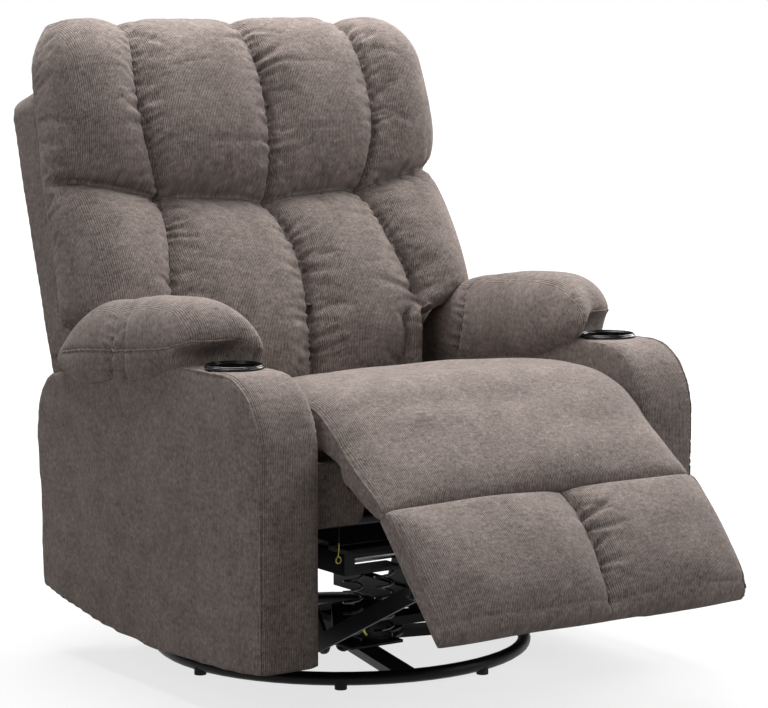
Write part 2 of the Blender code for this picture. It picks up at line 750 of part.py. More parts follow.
def build_arms():
    for name, side in SIDES:
        arm = side_plate(name + "_arm", [arm_outline()], side, ARM_IN, ARM_OUT - ARM_IN)
        rounded(arm, ARM_ROUND)
        well_floor = ARM_TOP_FRONT - CUP_DEPTH - CUP_WALL - GAP
        well = rod(name + "_cup_well", (side * CUP_X, CUP_Y, well_floor),
                   (side * CUP_X, CUP_Y, ARM_TOP_FRONT + CUP_DEPTH), CUP_BORE + CUP_WALL + GAP, 32)
        place(cut(arm, well), frame_body, FABRIC)
        rim_low = ARM_TOP_FRONT + GAP
        rim_top = rim_low + CUP_RIM_THICK
        floor = rim_top - CUP_DEPTH
        outer = CUP_BORE + CUP_WALL
        cup = turned(name + "_cup_holder",
                     [(CUP_RIM - CUP_RIM_ROUND, rim_top), (CUP_RIM, rim_top - CUP_RIM_ROUND),
                      (CUP_RIM, rim_low), (outer, rim_low), (outer, floor - CUP_WALL),
                      (0.0, floor - CUP_WALL), (0.0, floor), (CUP_BORE, floor),
                      (CUP_BORE, rim_top - CUP_RIM_ROUND), (CUP_BORE + CUP_RIM_ROUND, rim_top)],
                     (side * CUP_X, CUP_Y, 0.0))
        place(cup, frame_body, PLASTIC)


def pad_fullness(y):
    """Share of the full section that is left where a pad rounds off towards its ends."""
    if y < PAD_SEAM_Y:
        part = (PAD_SEAM_Y - y) / (PAD_SEAM_Y - PAD_NOSE)
        power = PAD_NOSE_POWER
    else:
        part = (y - PAD_SEAM_Y) / (PAD_REAR - PAD_SEAM_Y)
        power = PAD_TAIL_POWER
    return PAD_END_SHARE + (1 - PAD_END_SHARE) * math.sqrt(max(0.0, 1 - part ** power))


def pad_section(y, side):
    """Cross section of an arm pad: a loaf over the arm with a lip outside it."""
    full = pad_fullness(y)
    pinch = 1 - PAD_SEAM_PINCH * max(0.0, 1 - abs(y - PAD_SEAM_Y) / PAD_SEAM_WIDTH)
    floor = arm_top(y) + GAP
    rise = PAD_HIGH * full * pinch * (1 - PAD_REAR_FALL * ease(y, PAD_SEAM_Y, PAD_REAR))
    narrow = 1 - PAD_NARROW * (1 - full)
    wide_out = (PAD_OUT - CUP_X) * narrow * (1 + pinch) / 2
    wide_in = (CUP_X - PAD_IN) * narrow
    lip = PAD_LIP * full
    lip_in = ARM_OUT + GAP
    lip_out = max(lip_in + PAD_LIP_THICK, CUP_X + wide_out * (1 - PAD_NARROW / 3))
    dome = []
    steps = 12
    for i in range(steps + 1):
        turn = math.pi * i / steps
        reach = math.copysign(abs(math.cos(turn)) ** PAD_SQUARE, math.cos(turn))
        wide = wide_out if reach > 0 else wide_in
        dome.append((CUP_X + wide * reach,
                     floor + rise * (PAD_SHOULDER + (1 - PAD_SHOULDER) * math.sin(turn))))
    outside = [(lip_in, floor), (lip_in, floor - lip), (lip_out, floor - lip * (1 - PAD_NARROW))]
    inside = [(CUP_X - wide_in * (1 - PAD_NARROW), floor)]
    return [(side * x, y, z) for x, z in (*inside, *outside, *dome)]


def scoop_outline(side):
    """Plan of the scoop in a pad: round the cup holder, then off to the arm's outer side."""
    round_cup = arc((CUP_X, CUP_Y), (SCOOP_RADIUS, SCOOP_RADIUS), 180, 90, 8)
    front = CUP_Y - SCOOP_RADIUS
    past = PAD_OUT + PAD_LIP
    plan = [(CUP_X - SCOOP_RADIUS, front), *round_cup, (past, SCOOP_OUTER_Y), (past, front)]
    return [(side * x, y) for x, y in plan]


def build_arm_pads():
    steps = 18
    for name, side in SIDES:
        ys = [PAD_NOSE + (PAD_REAR - PAD_NOSE) * (1 - math.cos(math.pi * i / steps)) / 2
              for i in range(steps + 1)]
        ys = sorted([PAD_FRONT, *ys, ARM_SLOPE_START])
        pad = loft(name + "_arm_pad", [pad_section(y, side) for y in ys])
        scoop = plate(name + "_scoop", [scoop_outline(side)], ARM_TOP_FRONT - SCOOP_DEPTH,
                      ARM_TOP_FRONT + PAD_HIGH + SCOOP_DEPTH, TOP_VIEW)
        place(cut(pad, scoop), frame_body, FABRIC)


def build_apron():
    wide = ARM_IN - GAP
    corner = arc((APRON_ARCH_HALF + APRON_CORNER, APRON_BOTTOM + APRON_CORNER),
                 (APRON_CORNER, APRON_CORNER), 180, 270, 4)
    half = [(APRON_ARCH_HALF, APRON_ARCH), *corner, (wide, APRON_BOTTOM), (wide, APRON_TOP),
            (APRON_NOTCH_HALF, APRON_TOP), (APRON_NOTCH_HALF, APRON_NOTCH_TOP)]
    outline = half + [(-x, z) for x, z in reversed(half)]
    apron = plate("front_apron", [outline], -APRON_FRONT - APRON_THICK, -APRON_FRONT, FRONT_VIEW)
    place(apron, frame_body, FABRIC)


# Pull tab and the cable that it draws
def build_release():
    face = -(ARM_IN - GAP)
    bezel = box("release_bezel", (face, BEZEL_Y - BEZEL_HALF_WIDE, BEZEL_Z - BEZEL_HALF_TALL),
                (face + BEZEL_THICK, BEZEL_Y + BEZEL_HALF_WIDE, BEZEL_Z + BEZEL_HALF_TALL))
    place(rounded(bezel, BEZEL_THICK / 3, 1), frame_body, PLASTIC)
    front = face + BEZEL_THICK + GAP
    tab = box("release_tab", (front, BEZEL_Y - TAB_HALF_WIDE, BEZEL_Z - TAB_HALF_TALL),
              (front + TAB_THICK, BEZEL_Y + TAB_HALF_WIDE, BEZEL_Z + TAB_HALF_TALL))
    place(rounded(tab, TAB_THICK / 3, 1), tab_body, PLASTIC)
    x = face + CABLE_RADIUS + GAP
    start = BEZEL_Z - BEZEL_HALF_TALL - GAP
    clamp_z = FRAME_RAIL_Z + FRAME_RAIL_TALL / 2
    below = start - CABLE_BEND
    drop = [(x, BEZEL_Y, start), (x, BEZEL_Y, below)]
    swing = [(x, BEZEL_Y + (CABLE_CLAMP_Y - BEZEL_Y) * t, below + (clamp_z + CABLE_BEND - below) * t)
             for t in (0.25, 0.5, 0.75, 1.0)]
    quarter = arc((x + CABLE_BEND, clamp_z + CABLE_BEND), (CABLE_BEND, CABLE_BEND), 180, 270, 5)
    turn = [(u, CABLE_CLAMP_Y, v) for u, v in quarter]
    run = [(-FRAME_RAIL_OUT - GAP, CABLE_CLAMP_Y, clamp_z)]
    cable = tube("release_cable", drop + swing + turn[1:] + run, CABLE_RADIUS)
    place(cable, frame_body, RUBBER)


# Gliding seat frame, springs and cushion
def build_seat_frame():
    top = SEAT_FRAME_Z + SEAT_FRAME_TALL
    inner = SEAT_HALF - SEAT_BOARD
    span = inner - GAP
    bar = box("seat_front_bar", (-span, SEAT_FRONT, SEAT_FRAME_Z),
              (span, SEAT_FRONT + SEAT_BOARD, top))
    horn_low = APRON_NOTCH_TOP + (SEAT_FRAME_Z + SEAT_FRAME_TALL - APRON_NOTCH_TOP) / 4
    y, z = FLAP_HINGE
    root = SEAT_FRONT + SEAT_BOARD / 2
    horn = [(root, horn_low), (root, top - HINGE_LUG / 2),
            *arc((y, z), (HINGE_LUG, HINGE_LUG), 90, 270, 8)]
    hole = circle((y, z), HINGE_PIN + BORE_GAP)
    for name, side in SIDES:
        weld(bar, side_plate("hinge_horn_" + name, [horn, hole], side, MECH_IN, MECH_THICK))
    place(bar, seat_body, BLACK)
    rear = box("seat_rear_board", (-span, SEAT_REAR - SEAT_BOARD, SEAT_FRAME_Z),
               (span, SEAT_REAR, top))
    place(rear, seat_body, WOOD)
    for name, side in SIDES:
        edges = sorted((side * inner, side * SEAT_HALF))
        board = box("seat_side_board_" + name, (edges[0], SEAT_FRONT, SEAT_FRAME_Z),
                    (edges[1], SEAT_REAR, top))
        place(board, seat_body, WOOD)


def build_seat_springs():
    start = SEAT_FRONT + SEAT_BOARD + GAP
    end = SEAT_REAR - SEAT_BOARD - GAP
    z = SEAT_FRAME_Z + SEAT_FRAME_TALL - 4 * SINUOUS_WIRE
    lead = 4 * SINUOUS_WIRE
    steps = SINUOUS_WAVES * 8
    for number, x in enumerate(SINUOUS_X, 1):
        points = [(x, start, z)]
        for i in range(steps + 1):
            swing = SINUOUS_SWING * math.sin(2 * math.pi * SINUOUS_WAVES * i / steps)
            points.append((x + swing, start + lead + (end - start - 2 * lead) * i / steps, z))
        points.append((x, end, z))
        place(tube("seat_spring_%d" % number, points, SINUOUS_WIRE, 1), seat_body, SPRING)


def build_mechanism_plates():
    low = FRAME_RAIL_Z + FRAME_RAIL_TALL + GAP
    top = SEAT_FRAME_Z - GAP
    y, z = BACK_PIVOT
    outline = [(MECH_FRONT, low), (MECH_REAR, low),
               *arc((y, z), BACK_EYE, -60, 180, 10),
               (SEAT_REAR + 4 * GAP, top), (MECH_FRONT, top)]
    holes = [circle(CRANK_PIVOT, CRANK_TUBE + BORE_GAP, 16), circle((y, z), LINK_PIN + BORE_GAP)]
    for name, side in SIDES:
        mech = side_plate("mechanism_plate_" + name, [outline, *holes], side, MECH_IN, MECH_THICK)
        edges = sorted((side * FRAME_RAIL_IN, side * (MECH_IN + MECH_THICK / 2)))
        flange = box("glide_flange", (edges[0], MECH_FRONT, low),
                     (edges[1], MECH_REAR, low + MECH_THICK))
        place(weld(mech, flange), seat_body, BLACK)


def seat_profile(crown):
    """Side view of the seat cushion: nose about the flap hinge, crest, dish and rear edge."""
    y, z = FLAP_HINGE
    low = math.degrees(math.asin((NOSE_FLOOR - z) / NOSE_RADIUS))
    nose = arc((y, z), (-NOSE_RADIUS, NOSE_RADIUS), low, NOSE_SECTOR, 4)
    crest_y = y + NOSE_RADIUS
    crest = CUSHION_CREST - CUSHION_CROWN + crown
    start = nose[-1]
    brow = []
    dish = []
    steps = 5
    for i in range(1, steps + 1):
        turn = math.pi / 2 * i / steps
        brow.append((start[0] + (crest_y - start[0]) * (1 - math.cos(turn)) ** CUSHION_BROW_POWER,
                     start[1] + (crest - start[1]) * math.sin(turn)))
    steps = 6
    for i in range(1, steps + 1):
        t = i / steps
        dish.append((crest_y + (CUSHION_REAR - CUSHION_REAR_ROUND - crest_y) * t,
                     crest - CUSHION_DISH * t ** 2))
    rear = [(CUSHION_REAR, dish[-1][1] - CUSHION_REAR_ROUND), (CUSHION_REAR, CUSHION_FLOOR)]
    step_y = SEAT_FRONT - 2 * GAP
    return [(step_y, CUSHION_FLOOR), (step_y, NOSE_FLOOR), *nose, *brow, *dish, *rear]


def build_seat_cushion():
    steps = 14
    rings = []
    long = CUSHION_REAR - FLAP_HINGE[0]
    for i in range(steps + 1):
        across = math.sin(math.pi / 2 * (2 * i / steps - 1))
        crown = CUSHION_CROWN * (1 - abs(across) ** 4)
        tuck = CUSHION_TUCK * ease(abs(across), CUSHION_TUCK_FROM, 1.0)
        ring = []
        for y, z in seat_profile(crown):
            waist = 1 - (2 * (y - FLAP_HINGE[0]) / long - 1) ** 2
            half = CUSHION_HALF - CUSHION_DRAW * max(0.0, waist)
            middle = (CUSHION_FLOOR + CUSHION_CREST) / 2
            ring.append((across * half, y, z + (middle - z) * (tuck if z > middle else 0.0)))
        rings.append(ring)
    place(loft("seat_cushion", rings), seat_body, FABRIC)


# Legrest boards, pads, crank and links
def sloped_box(name, half, start, angle, reach, lift):
    """A board along a slope, between two reaches and two lifts."""
    corners = [along(start, angle, reach[0], lift[0]), along(start, angle, reach[1], lift[0]),
               along(start, angle, reach[1], lift[1]), along(start, angle, reach[0], lift[1])]
    return plate(name, [corners], -half, half)


def hinge_lug(name, side, near, start, angle, reach, towards, hole):
    """A lug under a board about a hinge, with a bore where a pin runs in it."""
    centre = along(start, angle, reach)
    root_lift = BOARD_LIFT + BOARD_THICK / 2
    root = [along(start, angle, reach, root_lift),
            along(start, angle, reach + towards * LUG_ROOT, root_lift)]
    heading = math.degrees(math.atan2(centre[1] - root[0][1], centre[0] - root[0][0]))
    outline = arc(centre, (HINGE_LUG, HINGE_LUG), heading - 90, heading + 90, 7)
    outline += root if towards * (outline[-1][0] - outline[0][0]) > 0 else list(reversed(root))
    loops = [outline] + ([circle(centre, hole)] if hole else [])
    return side_plate(name, loops, side, near, LUG_THICK)


def crowned_pad(name, half, start, angle, reach, seam):
    """A pad along a slope: crowned, sides drawn in and, where sewn, a channel down its middle."""
    across_steps = 20
    steps = 8
    rings = []
    for i in range(across_steps + 1):
        across = math.sin(math.pi / 2 * (2 * i / across_steps - 1))
        edge = 1 - abs(across) ** 8
        channel = CHANNEL_DEEP * math.exp(-(across / CHANNEL_WIDTH) ** 2) if seam else 0.0
        full = PAD_SIDE_PUFF + (1 - PAD_SIDE_PUFF) * edge
        profile = []
        for k in range(steps + 1):
            t = k / steps
            bulge = (1 - abs(2 * t - 1) ** 3) * full * (1 - channel)
            lift = PAD_EDGE - PAD_EDGE_DROP * (1 - edge) + (PAD_CROWN - PAD_EDGE) * bulge
            draw = PAD_DRAW * (1 - (2 * t - 1) ** 2)
            y, z = along(start, angle, reach[0] + (reach[1] - reach[0]) * t, lift)
            profile.append((across * (half - draw), y, z))
        for r in reversed(reach):
            y, z = along(start, angle, r, PAD_FLOOR)
            profile.append((across * half, y, z))
        rings.append(profile)
    return loft(name, rings)


def build_flap():
    reach = (0.0, FLAP_LENGTH - HINGE_LUG - HINGE_SPACE)
    lift = (BOARD_LIFT, BOARD_LIFT + BOARD_THICK)
    board = sloped_box("flap_board", FLAP_BOARD_HALF, FLAP_HINGE, FLAP_ANGLE, reach, lift)
    y, z = FLAP_HINGE
    for name, side in SIDES:
        near = FLAP_BOARD_HALF - LUG_THICK
        lug = hinge_lug("flap_rear_lug_" + name, side, near, FLAP_HINGE, FLAP_ANGLE, 0.0, 1, 0.0)
        ends = (side * (near + LUG_THICK / 2), side * (MECH_IN + MECH_THICK + GAP))
        pin = rod("flap_pin_" + name, (ends[0], y, z), (ends[1], y, z), HINGE_PIN)
        knuckle = hinge_lug("flap_knuckle_" + name, side, KNUCKLE_X, FLAP_HINGE, FLAP_ANGLE,
                            FLAP_LENGTH, -1, HINGE_PIN + BORE_GAP)
        weld(board, lug, pin, knuckle)
    place(board, flap_body, WOOD)
    pad = crowned_pad("flap_pad", PANEL_HALF, FLAP_HINGE, FLAP_ANGLE,
                      (FLAP_PAD_START, FLAP_LENGTH - PAD_SPACE), False)
    place(pad, flap_body, FABRIC)


def build_panel():
    reach = (HINGE_LUG + HINGE_SPACE, PANEL_LENGTH - HINGE_LUG)
    lift = (BOARD_LIFT, BOARD_LIFT + BOARD_THICK)
    board = sloped_box("legrest_board", PANEL_BOARD_HALF, PANEL_HINGE, PANEL_ANGLE, reach, lift)
    y, z = PANEL_HINGE
    for name, side in SIDES:
        near = KNUCKLE_X + LUG_THICK + LINK_SPACE
        lug = hinge_lug("legrest_lug_" + name, side, near, PANEL_HINGE, PANEL_ANGLE, 0.0, 1, 0.0)
        ends = (side * (KNUCKLE_X - GAP), side * (near + LUG_THICK / 2))
        pin = rod("legrest_pin_" + name, (ends[0], y, z), (ends[1], y, z), HINGE_PIN)
        weld(board, lug, pin)
    place(board, panel_body, WOOD)
    pad = crowned_pad("legrest_pad", PANEL_HALF, PANEL_HINGE, PANEL_ANGLE,
                      (PAD_SPACE, PANEL_LENGTH), True)
    place(pad, panel_body, FABRIC)
    step = forward(PANEL_ANGLE)
    foot = (LINK_END[0] - PANEL_HINGE[0]) * step[0] + (LINK_END[1] - PANEL_HINGE[1]) * step[1]
    spread = 3 * LINK_HALF_WIDE
    base = [along(PANEL_HINGE, PANEL_ANGLE, foot + k * spread, BOARD_LIFT - GAP) for k in (-1, 1)]
    heading = math.degrees(math.atan2(-step[1], -step[0]))
    eye = arc(LINK_END, (LINK_HALF_WIDE, LINK_HALF_WIDE), heading, heading - 180, 8)
    hole = circle(LINK_END, LINK_PIN + PIVOT_SLACK)
    for name, side in SIDES:
        bracket = side_plate("legrest_bracket_" + name, [[*eye, base[1], base[0]], hole],
                             side, BRACKET_X, LINK_THICK)
        place(bracket, panel_body, BLACK)


def build_crank_and_links():
    y, z = CRANK_PIVOT
    reach = CRANK_X + LINK_THICK / 2
    crank = rod("drive_crank", (-reach, y, z), (reach, y, z), CRANK_TUBE)
    for name, side in SIDES:
        loops = [strap(CRANK_PIVOT, KNEE, CRANK_HALF_WIDE), circle(KNEE, LINK_PIN + BORE_GAP)]
        arm = side_plate("crank_arm_" + name, loops, side, CRANK_X, LINK_THICK)
        weld(crank, arm)
        link = side_plate("legrest_link_" + name, [strap(KNEE, LINK_END, LINK_HALF_WIDE)],
                          side, LINK_X, LINK_THICK)
        inward = side * (CRANK_X - GAP)
        outward = side * (BRACKET_X + LINK_THICK + GAP)
        middle = side * (LINK_X + LINK_THICK / 2)
        weld(link, rod("knee_pin_" + name, (middle, *KNEE), (inward, *KNEE), LINK_PIN, 14),
             rod("end_pin_" + name, (middle, *LINK_END), (outward, *LINK_END), LINK_PIN, 14))
        place(link, link_bodies[name], BLACK)
    place(crank, crank_body, BLACK)


# Reclining back
def shell_outline():
    """Front view of the back shell: narrow between the arms, wide above, with round shoulders."""
    top = SHELL_HIGH
    half = [(SHELL_LOW_HALF, 0.0), (SHELL_LOW_HALF, SHELL_STEP), (SHELL_HALF, SHELL_STEP)]
    half += arc((SHELL_HALF - SHELL_CORNER, top - SHELL_CORNER),
                (SHELL_CORNER, SHELL_CORNER), 0, 90, 6)
    return half + [(-x, v) for x, v in reversed(half)]


def back_half(v):
    """Half width of the back cushion at a height up the back."""
    wide = BACK_HALF + BACK_FLARE * (1 - v / BACK_HIGH)
    half = BACK_LOW_HALF + (wide - BACK_LOW_HALF) * ease(v, *BACK_WIDEN)
    shoulder = max(0.0, v - (BACK_HIGH - BACK_SHOULDER)) / BACK_SHOULDER
    return half - BACK_SHOULDER_DRAW * shoulder ** 2


def puff(t):
    """Height of a stuffed puff at a share of the way across it."""
    return max(0.0, 1 - abs(2 * t - 1) ** BACK_PUFF_POWER)


def back_front(x, v, half):
    """How far the tufted front stands out of the back: two rows of four sewn puffs."""
    seam = min(BACK_SEAM_X, half * BACK_SEAM_SHARE)
    if abs(x) < seam:
        column = puff(abs(x) / seam)
    else:
        part = (abs(x) - seam) / (half - seam)
        edge = max(0.0, part - BACK_EDGE_FROM) / (1 - BACK_EDGE_FROM)
        column = puff(part / 2) * (1 - BACK_EDGE_FALL * edge ** 2)
    if v < BACK_ROW:
        row = puff(BACK_END_ROLL + (1 - BACK_END_ROLL) * v / BACK_ROW)
        crown = BACK_CROWN_LOW
    else:
        row = puff((1 - BACK_END_ROLL) * (v - BACK_ROW) / (BACK_HIGH - BACK_ROW))
        crown = BACK_CROWN_HIGH
    stuffed = BACK_LEAST_PUFF + (1 - BACK_LEAST_PUFF) * column
    out = BACK_CREASE + (crown - BACK_CREASE) * stuffed * row
    fall = math.sqrt(ease(v, BACK_HIGH, BACK_HIGH - BACK_TOP_ROLL))
    rise = ease(v, 0.0, BACK_FOOT_ROLL)
    roll = BACK_LEAST_PUFF + (1 - BACK_LEAST_PUFF) * fall
    return out * roll * (1 - BACK_LEAST_PUFF * (1 - rise))


def build_back():
    lean = Matrix.Rotation(math.radians(-BACK_LEAN), 4, "X")
    stand = Matrix.Translation((0.0, *BACK_FOOT)) @ lean
    shell = plate("back_shell", [shell_outline()], -SHELL_THICK, -GAP, stand @ FRONT_VIEW)
    place(rounded(shell, SHELL_ROUND), back_body, FABRIC)
    rings = []
    per_row = 9
    columns = 32
    spread = [(1 - math.cos(math.pi * i / per_row)) / 2 for i in range(per_row + 1)]
    heights = [BACK_ROW * share for share in spread[:-1]]
    heights += [BACK_ROW + (BACK_HIGH - BACK_ROW) * share for share in spread]
    for v in heights:
        half = back_half(v)
        ring = []
        for i in range(columns + 1):
            share = 2 * i / columns - 1
            x = half * (math.sin(math.pi / 2 * share) + share) / 2
            ring.append((x, *on_back(v, back_front(x, v, half))))
        ring += [(half, *on_back(v, GAP)), (-half, *on_back(v, GAP))]
        rings.append(ring)
    place(loft("back_cushion", rings), back_body, FABRIC)
    near = MECH_IN + MECH_THICK + LINK_SPACE
    root = [on_back(-GAP - BRACKET_THICK / 2, -SHELL_THICK * k) for k in BRACKET_ROOT]
    y, z = BACK_PIVOT
    eye = arc((y, z), (HINGE_LUG, HINGE_LUG), 150, 330, 8)
    sole = [on_back(-GAP - BRACKET_THICK, -SHELL_THICK * k) for k in BRACKET_SOLE]
    sole += [on_back(-GAP, -SHELL_THICK * k) for k in reversed(BRACKET_SOLE)]
    for name, side in SIDES:
        bracket = side_plate("back_bracket_" + name, [[*eye, root[1], root[0]]], side, near, BRACKET_THICK)
        flange = side_plate("bracket_sole_" + name, [sole], side, near, 4 * BRACKET_THICK)
        middle = side * (near + BRACKET_THICK / 2)
        inward = side * (MECH_IN - GAP)
        pin = rod("recline_pin_" + name, (middle, y, z), (inward, y, z), LINK_PIN, 14)
        place(weld(bracket, flange, pin), back_body, BLACK)


def centre_on_floor():
    """Move the chair so that the origin lies under the middle of its box."""
    bpy.context.view_layer.update()
    graph = bpy.context.evaluated_depsgraph_get()
    ys = []
    for obj in parts.objects:
        if obj.type == "MESH":
            seen = obj.evaluated_get(graph)
            mesh = seen.to_mesh()
            ys += [(obj.matrix_world @ vert.co).y for vert in mesh.vertices]
            seen.to_mesh_clear()
    chair.location.y = -(min(ys) + max(ys)) / 2
    bpy.context.view_layer.update()
    print("swivel axis at y %.5f" % chair.location.y)
    pivots = {"flap": FLAP_HINGE, "legrest": PANEL_HINGE, "crank": CRANK_PIVOT, "knee": KNEE,
              "link end": LINK_END, "back": BACK_PIVOT, "axle": (0.0, AXLE_Z)}
    for name, (y, z) in pivots.items():
        print(name, "pivot y %.5f z %.5f" % (y + chair.location.y, z))


build_base()
build_swivel()
build_carriage()
build_rocker_springs()
build_frame()
build_arms()
build_arm_pads()
build_apron()
build_release()
build_seat_frame()
build_seat_springs()
build_mechanism_plates()
build_seat_cushion()
build_flap()
build_panel()
build_crank_and_links()
build_back()
centre_on_floor()
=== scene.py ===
import json
import math

import bpy
import numpy as np
from mathutils import Matrix, Vector
from mathutils.bvhtree import BVHTree


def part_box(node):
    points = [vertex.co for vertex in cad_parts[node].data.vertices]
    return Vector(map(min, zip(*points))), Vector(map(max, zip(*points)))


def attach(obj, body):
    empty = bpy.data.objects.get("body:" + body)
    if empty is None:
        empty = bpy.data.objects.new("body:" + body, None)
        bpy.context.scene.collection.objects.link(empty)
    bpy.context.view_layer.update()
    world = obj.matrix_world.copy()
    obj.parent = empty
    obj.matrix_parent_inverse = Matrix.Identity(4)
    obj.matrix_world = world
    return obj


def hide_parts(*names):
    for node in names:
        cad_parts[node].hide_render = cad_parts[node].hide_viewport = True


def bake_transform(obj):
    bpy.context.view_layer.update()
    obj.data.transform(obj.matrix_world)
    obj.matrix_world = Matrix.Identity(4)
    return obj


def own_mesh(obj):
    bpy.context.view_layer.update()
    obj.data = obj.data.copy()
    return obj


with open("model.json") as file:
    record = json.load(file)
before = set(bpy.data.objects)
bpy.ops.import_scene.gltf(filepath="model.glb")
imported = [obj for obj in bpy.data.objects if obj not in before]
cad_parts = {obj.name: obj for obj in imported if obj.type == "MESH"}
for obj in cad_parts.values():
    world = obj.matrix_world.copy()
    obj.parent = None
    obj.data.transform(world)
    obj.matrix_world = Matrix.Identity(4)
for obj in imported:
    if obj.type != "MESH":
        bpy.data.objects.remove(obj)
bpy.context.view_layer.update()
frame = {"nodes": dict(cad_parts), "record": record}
cad = frame["nodes"]
scene = bpy.context.scene
pinLow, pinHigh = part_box("swivel_pin")
axisY = (pinLow.y + pinHigh.y) / 2  # sizes below are measured from the swivel axis
print("frame loaded, swivel axis at y %.4f" % axisY)


# camera and light
cameraSet = {"place": (-2.616, -3.953, 1.09), "heading": 34.35, "pitch": 7.1, "lens": 133.3, "sensor": 36.0}
lightSet = {
    # place and watts of each lamp
    "lamps": {"top": ((0.0, 0.0, 2.8), 17), "rear": ((0.0, 0.9, 2.7), 80), "left": ((-2.7, -1.3, 1.7), 24),
              "right": ((2.4, -2.6, 1.7), 41), "far": ((2.6, 0.4, 1.9), 90)},
    "size": 1.8, "aim": (0.0, 0.0, 0.45), "world": 0.21,
}


def addObject(name, data):
    obj = bpy.data.objects.new(name, data)
    scene.collection.objects.link(obj)
    return obj


def addCamera():
    data = bpy.data.cameras.new("photoCamera")
    data.lens, data.sensor_width = cameraSet["lens"], cameraSet["sensor"]
    camera = addObject("photoCamera", data)
    x, y, z = cameraSet["place"]
    camera.location = (x, y + axisY, z)
    heading, pitch = math.radians(cameraSet["heading"]), math.radians(cameraSet["pitch"])
    level = math.cos(pitch)
    ahead = Vector((math.sin(heading) * level, math.cos(heading) * level, -math.sin(pitch)))
    camera.rotation_euler = ahead.to_track_quat("-Z", "Y").to_euler()
    scene.camera = camera


def addLights():
    for name, (place, watts) in lightSet["lamps"].items():
        data = bpy.data.lights.new(name, "AREA")
        data.shape, data.size, data.energy = "SQUARE", lightSet["size"], watts
        lamp = addObject(name, data)
        lamp.location = place
        aim = Vector(lightSet["aim"]) - lamp.location
        lamp.rotation_euler = aim.to_track_quat("-Z", "Y").to_euler()


# small shader helpers
def setInputs(node, **values):
    # an underscore stands for a space in a socket's name
    for label, value in values.items():
        node.inputs[label.replace("_", " ")].default_value = value
    return node


def addNode(tree, kind, **values):
    return setInputs(tree.nodes.new("ShaderNode" + kind), **values)


def calc(tree, operation, *values):
    node = addNode(tree, "Math")
    node.operation = operation
    for socket, value in zip(node.inputs, values):
        if isinstance(value, (int, float)):
            socket.default_value = value
        else:
            tree.links.new(value, socket)
    return node.outputs[0]


def times(tree, first, second):
    return calc(tree, "MULTIPLY", first, second)


def plus(tree, first, second):
    return calc(tree, "ADD", first, second)


def split(tree, vector):
    node = addNode(tree, "SeparateXYZ")
    tree.links.new(vector, node.inputs[0])
    return node.outputs


def joined(tree, *values):
    node = addNode(tree, "CombineXYZ")
    for socket, value in zip(node.inputs, values):
        tree.links.new(value, socket)
    return node.outputs[0]


def cloudy(tree, vector, scale, detail=3.0, rough=0.55):
    node = addNode(tree, "TexNoise", Scale=scale, Detail=detail, Roughness=rough)
    tree.links.new(vector, node.inputs["Vector"])
    return node.outputs["Fac"]


def either(tree, pick, first, second):
    # first where pick is 1, second where it is 0
    return plus(tree, times(tree, first, pick), times(tree, second, calc(tree, "SUBTRACT", 1.0, pick)))


def swing(tree, value, share, base):
    # base, moved by a share of how far a value lies from a half
    return calc(tree, "MULTIPLY_ADD", calc(tree, "SUBTRACT", value, 0.5), share, base)


def newGroup(name, given, made):
    tree = bpy.data.node_groups.new(name, "ShaderNodeTree")
    for label, value in given.items():
        socket = tree.interface.new_socket(name=label, in_out="INPUT", socket_type="NodeSocketFloat")
        socket.default_value = value
    for label in made:
        tree.interface.new_socket(name=label, in_out="OUTPUT", socket_type="NodeSocketFloat")
    return tree, tree.nodes.new("NodeGroupInput").outputs, tree.nodes.new("NodeGroupOutput").inputs


weaveSet = {
    "turn": 0.74,  # faces that look further sideways than this have upright ribs
    "wander": {"scale": 20.0, "by": 0.005}, "yarn": {"scale": 430.0, "long": 0.33, "shift": 3.0},
    "hatch": {"scale": 150.0, "long": 0.45}, "brushed": {"scale": 24.0, "share": 0.8},
    "ribHigh": 0.6, "slubHigh": 0.8,
}


